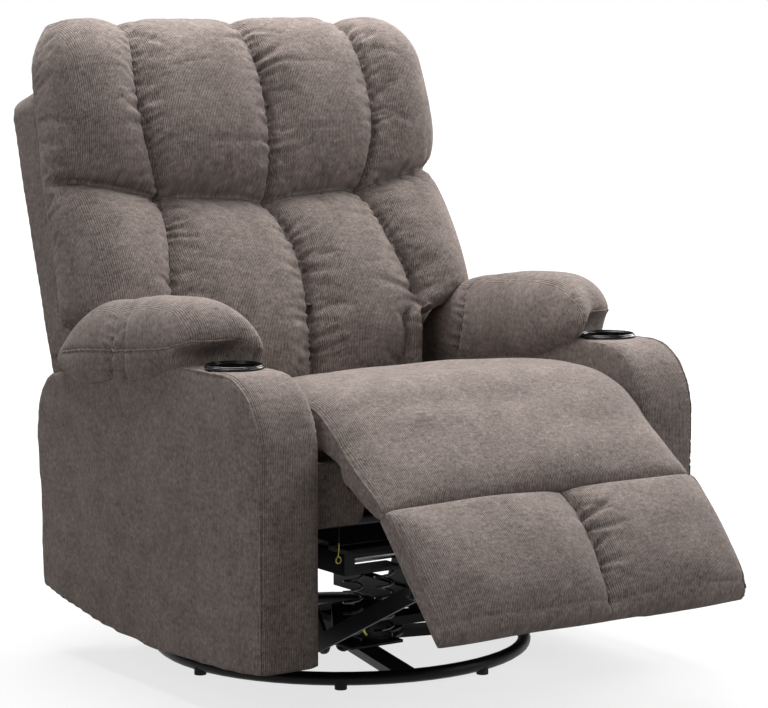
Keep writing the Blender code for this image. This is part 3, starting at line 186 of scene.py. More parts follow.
def chenilleWeaveGroup():
    # ribs run up the arms and the back, and from rear to front over the seat
    wander, yarn, hatch, brushed = (weaveSet[word] for word in ("wander", "yarn", "hatch", "brushed"))
    tree, given, made = newGroup(
        "chenilleWeave", {"Rib Pitch": 0.0024, "Rib": 0.2, "Slub": 0.6, "Mottle": 0.3}, ("Tone", "Height"))
    spot = addNode(tree, "TexCoord").outputs
    x, y, z = split(tree, spot["Object"])
    facing = calc(tree, "ABSOLUTE", split(tree, spot["Normal"])[0])
    sideways = calc(tree, "GREATER_THAN", facing, weaveSet["turn"])
    across = either(tree, sideways, y, x)
    along = either(tree, sideways, z, plus(tree, y, z))
    drift = times(tree, cloudy(tree, spot["Object"], wander["scale"], 2.0), wander["by"])
    turns = calc(tree, "DIVIDE", plus(tree, across, drift), given["Rib Pitch"])
    rib = calc(tree, "MULTIPLY_ADD", calc(tree, "SINE", times(tree, turns, 2 * math.pi)), 0.5, 0.5)
    strand = joined(tree, across, times(tree, along, yarn["long"]), times(tree, sideways, yarn["shift"]))
    slub = cloudy(tree, strand, yarn["scale"], 2.0, 0.65)
    threads = [joined(tree, across, times(tree, along, hatch["long"]), sideways),
               joined(tree, times(tree, across, hatch["long"]), along, sideways)]
    warp, weft = (cloudy(tree, way, hatch["scale"], 3.0, 0.6) for way in threads)
    tone = swing(tree, rib, given["Rib"], 0.5)
    tone = swing(tree, slub, given["Slub"], tone)
    crossed = calc(tree, "SUBTRACT", plus(tree, warp, weft), 1.0)
    cloud = swing(tree, cloudy(tree, spot["Object"], brushed["scale"], 4.0, 0.6), brushed["share"], crossed)
    tone = calc(tree, "MULTIPLY_ADD", cloud, given["Mottle"], tone)
    tree.links.new(tone, made["Tone"])
    height = plus(tree, times(tree, rib, weaveSet["ribHigh"]), times(tree, slub, weaveSet["slubHigh"]))
    tree.links.new(height, made["Height"])
    return tree


def handledGroup():
    # fine grain, rubbed patches and settled dust for hard finishes
    tree, given, made = newGroup(
        "handledSurface", {"Grain Scale": 400.0, "Dust": 0.3}, ("Grain", "Rub", "Dust"))
    spot = addNode(tree, "TexCoord").outputs
    fine = addNode(tree, "TexNoise")
    tree.links.new(spot["Object"], fine.inputs["Vector"])
    tree.links.new(given["Grain Scale"], fine.inputs["Scale"])
    tree.links.new(fine.outputs["Fac"], made["Grain"])
    tree.links.new(cloudy(tree, spot["Object"], scale=22.0, detail=5.0, rough=0.65), made["Rub"])
    up = calc(tree, "MAXIMUM", split(tree, spot["Normal"])[2], 0.0)
    settled = times(tree, up, cloudy(tree, spot["Object"], scale=60.0, detail=4.0, rough=0.7))
    tree.links.new(times(tree, settled, given["Dust"]), made["Dust"])
    return tree


def timberGroup():
    tree, given, made = newGroup("timberGrain", {"Rings": 60.0}, ("Grain", "Pores"))
    x, y, z = split(tree, addNode(tree, "TexCoord").outputs["Object"])
    stretch = 0.08
    plank = joined(tree, times(tree, x, stretch), y, z)
    wave = addNode(tree, "TexWave", Distortion=5.0, Detail=3.0)
    wave.bands_direction = "Y"
    tree.links.new(given["Rings"], wave.inputs["Scale"])
    tree.links.new(plank, wave.inputs["Vector"])
    tree.links.new(wave.outputs["Fac"], made["Grain"])
    tree.links.new(cloudy(tree, plank, scale=900.0, detail=2.0), made["Pores"])
    return tree


groups = {"chenille": chenilleWeaveGroup(), "handled": handledGroup(), "timber": timberGroup()}


def newMaterial(name):
    material = bpy.data.materials.new(name)
    material.use_nodes = True
    tree = material.node_tree
    return material, tree, tree.nodes["Principled BSDF"]


def placeGroup(tree, which, **values):
    node = addNode(tree, "Group")
    node.node_tree = groups[which]
    return setInputs(node, **values).outputs


def ramp(tree, value, *stops):
    node = addNode(tree, "ValToRGB")
    while len(node.color_ramp.elements) < len(stops):
        node.color_ramp.elements.new(0.5)
    for element, (at, colour) in zip(node.color_ramp.elements, stops):
        element.position = at
        element.color = (*colour, 1.0)
    tree.links.new(value, node.inputs["Fac"])
    return node.outputs["Color"]


def bumped(tree, shader, height, distance, strength):
    node = addNode(tree, "Bump", Distance=distance, Strength=strength)
    tree.links.new(height, node.inputs["Height"])
    tree.links.new(node.outputs["Normal"], shader.inputs["Normal"])


def ranged(tree, value, low, high):
    return calc(tree, "MULTIPLY_ADD", value, high - low, low)


chenilleSet = {
    "ramp": ((0.16, (0.066, 0.053, 0.047)), (0.5, (0.176, 0.144, 0.130)), (0.86, (0.330, 0.276, 0.252))),
    "weave": {"Rib_Pitch": 0.0030, "Rib": 0.30, "Slub": 0.80, "Mottle": 0.50},
    "shader": {"Roughness": 0.94, "Specular_IOR_Level": 0.15, "Sheen_Weight": 0.22, "Sheen_Roughness": 0.45,
               "Sheen_Tint": (0.88, 0.77, 0.71, 1.0)},
    "bump": {"distance": 0.0012, "strength": 0.5},
}
hardSet = {"dust": (0.34, 0.32, 0.29, 1.0), "rubbed": (0.35, 0.75), "bump": 0.0004}
plywoodSet = {
    "ramp": ((0.0, (0.30, 0.19, 0.10)), (0.6, (0.47, 0.33, 0.19)), (1.0, (0.55, 0.41, 0.26))),
    "rings": 70.0, "rough": (0.6, 0.85), "bump": {"distance": 0.0004, "strength": 0.3},
}


def chenille():
    material, tree, shader = newMaterial("taupeChenille")
    made = placeGroup(tree, "chenille", **chenilleSet["weave"])
    tree.links.new(ramp(tree, made["Tone"], *chenilleSet["ramp"]), shader.inputs["Base Color"])
    setInputs(shader, **chenilleSet["shader"])
    bumped(tree, shader, made["Height"], **chenilleSet["bump"])
    return material


def hardFinish(name, base, rubbed, rough, metal=0.0, dust=0.25, grain=500.0, bump=0.15, shine=0.5):
    material, tree, shader = newMaterial(name)
    made = placeGroup(tree, "handled", Grain_Scale=grain, Dust=dust)
    mix = addNode(tree, "Mix")
    mix.data_type = "RGBA"
    tree.links.new(ramp(tree, made["Rub"], *zip(hardSet["rubbed"], (base, rubbed))), mix.inputs["A"])
    mix.inputs["B"].default_value = hardSet["dust"]
    tree.links.new(made["Dust"], mix.inputs["Factor"])
    tree.links.new(mix.outputs["Result"], shader.inputs["Base Color"])
    tree.links.new(ranged(tree, made["Rub"], *rough), shader.inputs["Roughness"])
    setInputs(shader, Metallic=metal, Specular_IOR_Level=shine)
    bumped(tree, shader, made["Grain"], hardSet["bump"], bump)
    return material


def plywood():
    material, tree, shader = newMaterial("plywood")
    made = placeGroup(tree, "timber", Rings=plywoodSet["rings"])
    tree.links.new(ramp(tree, made["Grain"], *plywoodSet["ramp"]), shader.inputs["Base Color"])
    tree.links.new(ranged(tree, made["Pores"], *plywoodSet["rough"]), shader.inputs["Roughness"])
    bumped(tree, shader, made["Pores"], **plywoodSet["bump"])
    return material


finishes = {
    "taupe_chenille": chenille(),
    "black_steel": hardFinish("blackSteel", (0.0022, 0.0022, 0.0026), (0.0040, 0.0040, 0.0045), (0.30, 0.50),
                              dust=0.006, shine=0.16),
    "bare_steel": hardFinish("bareSteel", (0.40, 0.40, 0.41), (0.55, 0.55, 0.56), (0.25, 0.45), metal=1.0,
                             dust=0.10),
    "black_plastic": hardFinish("blackPlastic", (0.006, 0.006, 0.007), (0.010, 0.010, 0.011), (0.10, 0.22),
                                dust=0.02, grain=900.0, bump=0.05),
    "white_nylon": hardFinish("whiteNylon", (0.66, 0.65, 0.61), (0.74, 0.73, 0.70), (0.45, 0.6)),
    "black_rubber": hardFinish("blackRubber", (0.012, 0.012, 0.012), (0.020, 0.020, 0.020), (0.75, 0.95),
                               grain=700.0, bump=0.4),
    "plywood": plywood(),
    "spring_steel": hardFinish("springSteel", (0.05, 0.05, 0.055), (0.12, 0.12, 0.125), (0.3, 0.5), metal=1.0,
                               dust=0.05),
}
yellowZinc = hardFinish("yellowZinc", (0.56, 0.50, 0.05), (0.70, 0.64, 0.12), (0.25, 0.4), metal=0.35,
                        dust=0.03)
# thread colour for the raised stitches, also used for the painted shade line sunk in the seams
threadAndSeamShade = hardFinish("threadAndSeamShade", (0.085, 0.070, 0.062), (0.13, 0.108, 0.097), (0.8, 0.95), dust=0.0,
                        grain=1500.0, bump=0.4)
# black cloth for the middle of the apron, also the painted shade of the black sheet at the rear
blackClothAndShade = hardFinish("blackClothAndShade", (0.006, 0.006, 0.006), (0.013, 0.013, 0.013), (0.85, 0.97), dust=0.02,
                        grain=1300.0, bump=0.5, shine=0.1)
print("finishes made")


# mesh helpers
def addMesh(name, points, faces):
    mesh = bpy.data.meshes.new(name)
    mesh.from_pydata([tuple(p) for p in points], [], faces)
    mesh.update()
    return addObject(name, mesh)


def readVectors(items, count, label):
    flat = np.empty(count * 3, np.float32)
    items.foreach_get(label, flat)
    return flat.reshape(-1, 3).astype(float)


def coordsOf(obj):
    return readVectors(obj.data.vertices, len(obj.data.vertices), "co")


def normalsOf(obj):
    return readVectors(obj.data.vertex_normals, len(obj.data.vertices), "vector")


def setCoords(obj, co):
    obj.data.vertices.foreach_set("co", co.astype(np.float32).ravel())
    obj.data.update()


def keepBetween(obj, room):
    # nothing reaches further out than the room to each side
    co = coordsOf(obj)
    co[:, 0] = np.clip(co[:, 0], -room, room)
    setCoords(obj, co)


def settle(obj):
    # keep what the modifiers made
    bpy.context.view_layer.update()
    mesh = bpy.data.meshes.new_from_object(obj.evaluated_get(bpy.context.evaluated_depsgraph_get()))
    old = obj.data
    obj.modifiers.clear()
    obj.data = mesh
    bpy.data.meshes.remove(old)
    return obj


def remesh(obj, voxel, soften):
    step = obj.modifiers.new("voxels", "REMESH")
    step.mode = "VOXEL"
    step.voxel_size = voxel
    if soften:
        relax = obj.modifiers.new("soften", "SMOOTH")
        relax.factor = 0.5
        relax.iterations = soften
    return settle(obj)


def refine(obj):
    fine = obj.modifiers.new("fine", "SUBSURF")
    fine.levels = fine.render_levels = 1
    return settle(obj)


def copyNode(name, node):
    return addObject(name, cad[node].data.copy())


def skin(base, rows, count):
    # faces of a tube of rings with shut ends
    faces = []
    for r in range(rows - 1):
        for i in range(count):
            a, b = base + r * count + i, base + r * count + (i + 1) % count
            faces.append((a, b, b + count, a + count))
    faces.append(tuple(base + i for i in range(count - 1, -1, -1)))
    faces.append(tuple(base + (rows - 1) * count + i for i in range(count)))
    return faces


def loft(name, rings):
    return addMesh(name, [p for ring in rings for p in ring], skin(0, len(rings), len(rings[0])))


def join(obj, other):
    # take another closed mesh into this one
    base = len(obj.data.vertices)
    points = [v.co[:] for v in obj.data.vertices] + [v.co[:] for v in other.data.vertices]
    faces = [tuple(f.vertices) for f in obj.data.polygons]
    faces += [tuple(i + base for i in f.vertices) for f in other.data.polygons]
    obj.data.clear_geometry()
    obj.data.from_pydata(points, [], faces)
    obj.data.update()
    bpy.data.objects.remove(other)


def runOf(line):
    # how far along a line each of its points lies
    return np.concatenate([[0], np.cumsum(np.linalg.norm(np.diff(line, axis=0), axis=1))])


def smoothLine(points, count, between=12):
    # a rounded line through points, evenly spaced
    pts = np.array(points, float)
    fine = []
    for k in range(len(pts) - 1):
        before, after = pts[max(k - 1, 0)], pts[min(k + 2, len(pts) - 1)]
        a, b = pts[k], pts[k + 1]
        for t in np.linspace(0, 1, between, endpoint=False):
            fine.append(0.5 * (2 * a + (b - before) * t + (2 * before - 5 * a + 4 * b - after) * t ** 2
                               + (3 * a - before - 3 * b + after) * t ** 3))
    fine.append(pts[-1])
    fine = np.array(fine)
    steps = runOf(fine)
    want = np.linspace(0, steps[-1], count)
    return np.stack([np.interp(want, steps, fine[:, i]) for i in range(fine.shape[1])], axis=1)


def ease(value, low, high):
    part = np.clip((np.asarray(value, float) - low) / (high - low), 0.0, 1.0)
    return part * part * (3 - 2 * part)


def rounded(part, power=2.4):
    # 1 until part is 0, then round off to 0 at 1
    return max(0.0, 1 - min(1.0, max(0.0, part)) ** power) ** 0.5


def nearLine(flat, line):
    # distance to a line, how far along it, and which side
    best = np.full(len(flat), 9.0)
    along, side = np.zeros(len(flat)), np.zeros(len(flat))
    run = 0.0
    pts = np.array(line, float)
    for a, b in zip(pts, pts[1:]):
        step = b - a
        length = np.linalg.norm(step)
        t = np.clip(((flat - a) @ step) / length ** 2, 0, 1)
        gap = flat - a - t[:, None] * step
        far = np.linalg.norm(gap, axis=1)
        near = far < best
        best[near] = far[near]
        along[near] = run + t[near] * length
        if flat.shape[1] == 2:
            side[near] = np.sign(step[0] * gap[near, 1] - step[1] * gap[near, 0])
        run += length
    return best, along, side, run


# sewing, shared by all pads; ranges are for random draws
sewSet = {
    "draw": 1.25, "stepFade": 0.024, "margin": 0.01, "near": 0.06, "fade": 1.1, "least": 0.30,
    "slow": (0.55, 36), "quick": (0.35, 85), "deep": (0.35, 1.3), "reach": (0.5, 1.7), "wide": (0.0034, 0.0058),
    "lean": (-0.35, 0.35), "bend": (-5.0, 5.0), "pitch": (0.5, 1.6), "fan": 0.9, "ridge": (0.5, 2.3),
}
rippleSet = {"waves": (0.26, 0.19, 0.13, 0.09, 0.06), "calm": 1.6}
anyTurn = (0, 6.28)


def pushOut(obj, push, mask):
    if mask is not None:
        push = push * mask
    setCoords(obj, coordsOf(obj) + normalsOf(obj) * push[:, None])


def sewSeam(obj, flat, line, kit, mask=None, seed=1):
    # a drawn-in seam, with uneven pleats that fan out of it in patches
    far, along, side, length = nearLine(flat, line)
    push = -kit["deep"] * np.exp(-(far / kit["wide"]) ** sewSet["draw"])
    if "step" in kit:
        push -= kit["step"] * (side < 0) * np.exp(-far / sewSet["stepFade"])
    chance = np.random.default_rng(seed)
    base, often = sewSet["slow"]
    more, oftener = sewSet["quick"]
    high, broad = sewSet["ridge"]
    for way, share in ((1, kit.get("left", 1.0)), (-1, kit.get("right", 1.0))):
        slow, quick = chance.uniform(*anyTurn, 2)
        at = sewSet["margin"]
        while kit.get("pleat") and at < length - sewSet["margin"]:
            patch = base + base * math.sin(at * often + slow) + more * math.sin(at * oftener + quick)
            deep = kit["pleat"] * chance.uniform(*sewSet["deep"]) * share * max(sewSet["least"], patch)
            reach = kit["reach"] * chance.uniform(*sewSet["reach"])
            wide = chance.uniform(*sewSet["wide"]) * kit.get("broad", 1.0)
            lean = chance.uniform(*sewSet["lean"]) + kit.get("droop", 0.0)
            bend = chance.uniform(*sewSet["bend"])
            near = (side == way) & (far < reach) & (np.abs(along - at) < sewSet["near"])
            d = far[near]
            off = along[near] - at - lean * d - bend * d * d
            fan = wide * (1 + sewSet["fan"] * d / reach)
            ridge = high * np.exp(-(off / (broad * fan)) ** 2) - np.exp(-(off / fan) ** 2)
            push[near] += deep * ridge * (1 - d / reach) ** sewSet["fade"]
            at += kit["pitch"] * chance.uniform(*sewSet["pitch"])
    pushOut(obj, push, mask)


def ripple(obj, amount, seed, mask=None):
    # slow unevenness of stuffed fabric
    co = coordsOf(obj)
    chance = np.random.default_rng(seed)
    push = np.zeros(len(co))
    for wave in rippleSet["waves"]:
        heading = chance.normal(size=3)
        heading /= np.linalg.norm(heading)
        phase = 2 * math.pi * (co @ heading) / wave + chance.uniform(*anyTurn)
        push += wave / rippleSet["waves"][0] * np.sin(phase)
    push *= amount / rippleSet["calm"]
    pushOut(obj, push, mask)


clothSet = {
    "quality": 4, "mass": 0.3, "tension_stiffness": 12.0, "compression_stiffness": 12.0, "shear_stiffness": 5.0,
    "bending_stiffness": 0.4, "use_pressure": True, "vertex_group_mass": "held",
}


def evened(obj, push, rounds):
    # each point keeps half of its own push and takes half of its neighbours' mean
    pairs = np.empty(len(obj.data.edges) * 2, np.int32)
    obj.data.edges.foreach_get("vertices", pairs)
    pairs = pairs.reshape(-1, 2)
    ends = np.concatenate([pairs, pairs[:, ::-1]])
    count = np.bincount(ends[:, 0], minlength=len(push))
    for _ in range(rounds):
        push = 0.5 * push + 0.5 * np.bincount(ends[:, 0], push[ends[:, 1]], len(push)) / count
    return push


def holdAndStuff(jobs, frames=20):
    # all pads swell together under cloth pressure, each held at its seams and its base
    for obj, kit in jobs:
        group = obj.vertex_groups.new(name="held")
        group.add([int(i) for i in np.nonzero(kit["held"])[0]], 1.0, "REPLACE")
        cloth = obj.modifiers.new("stuffing", "CLOTH")
        for label, value in clothSet.items():
            setattr(cloth.settings, label, value)
        cloth.settings.uniform_pressure_force = kit["pressure"]
        cloth.settings.shrink_min = -kit["slack"]
        cloth.settings.effector_weights.gravity = 0.0
        cloth.collision_settings.use_collision = False
        cloth.point_cache.frame_start = 1
        cloth.point_cache.frame_end = frames
    for number in range(1, frames + 1):
        scene.frame_set(number)
    graph = bpy.context.evaluated_depsgraph_get()
    for obj, kit in jobs:
        rest, normals = coordsOf(obj), normalsOf(obj)
        gap = coordsOf(obj.evaluated_get(graph)) - rest
        size = np.linalg.norm(gap, axis=1, keepdims=True)
        gap *= np.minimum(1.0, kit["cap"] / np.maximum(size, 1e-9))
        if "even" in kit:
            # taut pads keep the swelling, without its creases
            push = np.maximum(0.0, np.sum(gap * normals, axis=1))
            gap = normals * evened(obj, push, kit["even"])[:, None]
        obj.modifiers.clear()
        obj.vertex_groups.clear()
        setCoords(obj, rest + gap)
        print("stuffed %s, %.1f mm at most" % (obj.name, 1000 * size.max()))
    scene.frame_set(1)


def carry(obj, body):
    # one body; for a pair of bodies the piece is only baked in place
    if isinstance(body, str):
        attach(obj, body)
    else:
        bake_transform(obj)


def coat(obj, material):
    obj.data.materials.clear()
    obj.data.materials.append(material)
    obj.data.shade_smooth()


def upholster(obj, body, fill, *nodes):
    coat(obj, finishes["taupe_chenille"])
    carry(obj, body)
    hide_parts(*nodes)


def mirrored(obj, name):
    twin = addObject(name, obj.data.copy())
    twin.data.transform(Matrix.Scale(-1, 4, (1, 0, 0)))
    twin.data.flip_normals()
    return twin


def onSurface(obj, points, lift, heading=None):
    # where points lie nearest to a piece, or meet it when sent along a heading
    tree = BVHTree.FromObject(obj, bpy.context.evaluated_depsgraph_get())
    found = []
    for p in points:
        hit = tree.ray_cast(Vector(p), Vector(heading)) if heading else tree.find_nearest(Vector(p))
        if hit[0] is not None:
            found.append(np.array(hit[0] + hit[1] * lift))
    return np.array(found)


def rodMesh(bars, sides):
    # points and faces of closed round bars, each a list of (centre, turn, radius)
    points, faces = [], []
    for rings in bars:
        faces += skin(len(points), len(rings), sides)
        for centre, turn, radius in rings:
            for k in range(sides):
                angle = 2 * math.pi * k / sides
                points.append(Vector(centre) + turn @ Vector((math.cos(angle), math.sin(angle), 0)) * radius)
    return points, faces


def turnAlong(step):
    return Vector(step).to_track_quat("Z", "Y").to_matrix()


# sewing thread: raised stitches, and a dark line on the floor of a deep seam, which is painted shade for the
# crease
threadSet = {
    "stitch": 0.0042, "space": 0.0026, "thin": 0.0005, "sides": 6, "seam": 0.0011, "sink": 0.0002,
    "lift": 0.0004,
    "taper": ((0.0, 0.35), (0.25, 1.0), (0.75, 1.0), (1.0, 0.35)),
}


def stitchRow(name, line, body):
    line = np.array(line, float)
    steps = runOf(line)
    bars = []
    start, stitch = 0.0, threadSet["stitch"]
    while start + stitch < steps[-1]:
        a, b = [np.array([np.interp(s, steps, line[:, i]) for i in range(3)]) for s in (start, start + stitch)]
        turn = turnAlong(b - a)
        bars.append([(a + (b - a) * share, turn, threadSet["thin"] * size)
                     for share, size in threadSet["taper"]])
        start += stitch + threadSet["space"]
    obj = addMesh(name, *rodMesh(bars, threadSet["sides"]))
    coat(obj, threadAndSeamShade)
    carry(obj, body)


def bar(name, line, radius, material, body, sides=8):
    # a round bar, wire or welt along a line
    line = np.array(line, float)
    ends = np.gradient(line, axis=0)
    obj = addMesh(name, *rodMesh([[(p, turnAlong(d), radius) for p, d in zip(line, ends)]], sides))
    coat(obj, material)
    carry(obj, body)


def welt(name, line, radius, body):
    bar(name, line, radius, finishes["taupe_chenille"], body)


# a dark bar sunk into the floor of a seam: painted shade in the crease
def sinkSeamShadeLine(name, obj, points, heading, body):
    found = onSurface(obj, points, -threadSet["sink"], heading)
    bar(name, found, threadSet["seam"], threadAndSeamShade, body, threadSet["sides"])


# where the boards and hinges lie, from the swivel axis
hingeSet = {"flap": (-0.410, 0.380), "flapAngle": 25.1, "flapLong": 0.139, "panelAngle": 47.0}


def alongBoard(start, angle, reach, lift):
    turn = math.radians(angle)
    step = (-math.cos(turn), -math.sin(turn))
    return (start[0] + step[0] * reach + step[1] * lift, start[1] + step[1] * reach - step[0] * lift)


def onFlap(reach, lift):
    return alongBoard(hingeSet["flap"], hingeSet["flapAngle"], reach, lift)


panelHinge = onFlap(hingeSet["flapLong"], 0.0)


def onPanel(reach, lift):
    return alongBoard(panelHinge, hingeSet["panelAngle"], reach, lift)


def place3(x, point):
    return (x, point[0] + axisY, point[1])


# tufted back cushion: two rows of four puffs
backSet = {
    "foot": (0.216, 0.400), "lean": 17.0, "high": 0.676, "lowHalf": 0.256, "half": 0.376, "flare": 0.026,
    "widen": (0.108, 0.158), "room": (0.266, 0.17), "shoulder": 0.042, "shoulderHigh": 0.10,
    # the row seam, and where it hangs
    "row": 0.340, "rowRise": 0.32, "rowShift": 0.004, "rowHang": (-0.204, 0.008, 0.204), "hang": 0.009,
    "hangWide": 0.030,
    # height up the back and place across it of the column seams
    "side": [(0.0, 0.240), (0.12, 0.246), (0.19, 0.2385), (0.25, 0.223), (0.30, 0.213), (0.345, 0.204),
             (0.39, 0.218), (0.45, 0.232), (0.51, 0.236), (0.58, 0.231), (0.634, 0.2235), (0.70, 0.219)],
    "middle": [(0.0, 0.018), (0.1, 0.020), (0.2, 0.026), (0.28, 0.018), (0.345, 0.008), (0.42, 0.014),
               (0.51, 0.017), (0.634, 0.005), (0.70, 0.002)],
    "crease": 0.046, "dip": 0.40, "lowCrown": 0.152, "highCrown": 0.134, "scallop": 0.012, "headRoll": 0.030,
    "rows": 96, "columns": 120, "voxel": 0.0055, "fill": 0.75, "ripple": 0.0022,
    "column": {"deep": 0.010, "wide": 0.0050, "pleat": 0.0062, "pitch": 0.016, "reach": 0.056, "droop": 0.15},
    "across": {"deep": 0.007, "wide": 0.0050, "pleat": 0.0024, "pitch": 0.024, "reach": 0.030},
    "tail": {"half": 0.245, "low": -0.034, "high": 0.030, "rear": 0.030, "front": 0.085},
    "wrinkle": {"deep": 0.0014, "wide": 0.0060}, "wrinkles": 22,
    "held": {"base": 0.010, "foot": 0.012, "seam": 0.006, "above": 0.02},
    "stuff": {"pressure": 4.0, "cap": 0.022, "slack": 0.02},
}
backLean = math.radians(backSet["lean"])
behindBack = (0.0, math.cos(backLean), -math.sin(backLean))


def backPoint(x, v, out):
    foot = backSet["foot"]
    return (x, foot[0] + v * math.sin(backLean) - out * math.cos(backLean) + axisY,
            foot[1] + v * math.cos(backLean) + out * math.sin(backLean))


def backFlat(co):
    y, z = co[:, 1] - axisY - backSet["foot"][0], co[:, 2] - backSet["foot"][1]
    return (np.stack([co[:, 0], y * math.sin(backLean) + z * math.cos(backLean)], axis=1),
            -y * math.cos(backLean) + z * math.sin(backLean))


def backBlock(name, kit, left, right):
    # a block that stands on the back's own slope
    corners = ((left, kit["rear"]), (right, kit["rear"]), (right, kit["front"]), (left, kit["front"]))
    return loft(name, [[backPoint(x, v, out) for x, out in corners] for v in (kit["low"], kit["high"])])


def backHalf(v):
    wide = backSet["half"] + backSet["flare"] * (1 - v / backSet["high"])
    half = backSet["lowHalf"] + (wide - backSet["lowHalf"]) * float(ease(v, *backSet["widen"]))
    bend = backSet["shoulderHigh"]
    return half - backSet["shoulder"] * max(0.0, (v - backSet["high"] + bend) / bend) ** 2


def backRow(x):
    # the row seam hangs a little where it meets the column seams
    hang = sum(math.exp(-abs((x - s) / backSet["hangWide"]) ** 1.5) for s in backSet["rowHang"])
    return backSet["row"] + backSet["rowRise"] * x * x + backSet["rowShift"] - backSet["hang"] * hang


def seamAt(which, v):
    table = np.array(backSet[which])
    return float(np.interp(v, table[:, 0], table[:, 1]))


def backOut(x, v, half):
    # how far the puffs stand out: shares of a column, of the outer edge, of a row and of the top
    outer, middle = min(seamAt("side", v), half * 0.82), seamAt("middle", v)
    side = top = 1.0
    if abs(x) < outer:
        a, b = (-outer, middle) if x < middle else (middle, outer)
        column = max(0.0, 1 - abs(2 * (x - a) / (b - a) - 1) ** 2.8) ** 0.50
    else:
        part = (abs(x) - outer) / (half - outer)
        column = rounded(1 - part / 0.42, 2.2)
        side = 0.20 + 0.80 * rounded((part - 0.45) / 0.55)
    row = backRow(x)
    if v < row:
        share, crown = v / row, backSet["lowCrown"]
        swell = rounded((share - 0.40) / 0.60) * (0.82 + 0.18 * float(ease(share, 0.0, 0.3)))
    else:
        share, crown = (v - row) / (backSet["high"] - row), backSet["highCrown"]
        swell = rounded(1 - share / 0.55)
        top = 0.12 + 0.88 * rounded((share - 0.58) / 0.42, 2.3)
    valley = 1 - backSet["dip"] * (1 - column) * (1 - 0.55 * float(ease(v, 0.56, 0.66)))
    return (backSet["crease"] + (crown - backSet["crease"]) * swell * valley) * side * top


def backTop(x):
    # the top edge dips at each seam
    outer, middle = seamAt("side", backSet["high"]), seamAt("middle", backSet["high"])
    dip = sum(math.exp(-((x - s) / 0.030) ** 2) for s in (-outer, middle, outer))
    return backSet["high"] - backSet["scallop"] * dip


def makeBackCushion():
    rings = []
    rollFrom, behind = 0.62, 0.002
    for r in range(backSet["rows"] + 1):
        share = r / backSet["rows"]
        v = share * backSet["high"]
        half = backHalf(v)
        roll = backSet["headRoll"] * float(ease(v, 0.570, 0.600))
        roll = roll * rounded((v - rollFrom) / (backSet["high"] - rollFrom))
        spread = np.linspace(-1, 1, backSet["columns"] + 1)
        xs = [half * (0.5 * math.sin(math.pi / 2 * u) + 0.5 * u) for u in spread]
        ring = [backPoint(x, share * backTop(x), backOut(x, v, half)) for x in xs]
        ring += [backPoint(x, share * backTop(x), behind - roll * rounded(abs(x) / half, 4)) for x in xs[::-4]]
        rings.append(ring)
    obj = loft("backCushion", rings)
    # a tail below the cushion closes the slot behind the seat
    tail = backSet["tail"]
    join(obj, backBlock("tail", tail, -tail["half"], tail["half"]))
    return remesh(obj, backSet["voxel"], 1)


def backSeams():
    lines = []
    for sign, which in ((-1, "side"), (1, "middle"), (1, "side")):
        lines.append(("column", smoothLine([(sign * x, v) for v, x in backSet[which]], 36)))
    lines.append(("across", [(x, backRow(x)) for x in np.linspace(-0.42, 0.42, 70)]))
    return lines


def backJob(obj):
    flat, out = backFlat(coordsOf(obj))
    kit = backSet["held"]
    held = (out < kit["base"]) | (flat[:, 1] < kit["foot"])
    for _, line in backSeams():
        held |= (nearLine(flat, line)[0] < kit["seam"]) & (out > kit["above"])
    return obj, {"held": held, **backSet["stuff"]}


def finishBack(obj):
    refine(obj)
    ripple(obj, backSet["ripple"], 11)
    for number, (which, line) in enumerate(backSeams()):
        flat, out = backFlat(coordsOf(obj))
        sewSeam(obj, flat, line, backSet[which], ease(out, 0.012, 0.04), 20 + number)
    chance = np.random.default_rng(7)
    for _ in range(backSet["wrinkles"]):
        # faint creases across the puffs
        x, v, long = chance.uniform(-0.34, 0.30), chance.uniform(0.16, 0.62), chance.uniform(0.04, 0.10)
        bend, rise = chance.uniform(-0.008, 0.012), chance.uniform(-0.02, 0.03)
        line = smoothLine([(x, v), (x + long / 2, v + bend), (x + long, v + rise)], 8)
        flat, out = backFlat(coordsOf(obj))
        sewSeam(obj, flat, line, backSet["wrinkle"], ease(out, 0.03, 0.06))
    flat, _ = backFlat(coordsOf(obj))
    low, more = backSet["room"]
    keepBetween(obj, low + more * ease(flat[:, 1], *backSet["widen"]))  # stays between the arms
    upholster(obj, "back", backSet["fill"], "back_cushion")
    for number, (_, line) in enumerate(backSeams(), 1):
        inside = [backPoint(x, v, 0.30) for x, v in smoothLine(line, 260) if abs(x) < backHalf(v) - 0.03]
        sinkSeamShadeLine("backSeam%d" % number, obj, inside, behindBack, "back")


# boxed pads, shared by the seat and the legrest
def acrossPad(stations):
    # places across a pad, closer together towards its sides
    return [math.sin(math.pi / 2 * (2 * i / stations - 1)) for i in range(stations + 1)]


def boxedLift(kit, u):
    # share of the full height, less at the boxed sides
    return kit["boxing"] + (1 - kit["boxing"]) * max(0.0, 1 - abs(u) ** 9) ** 0.4


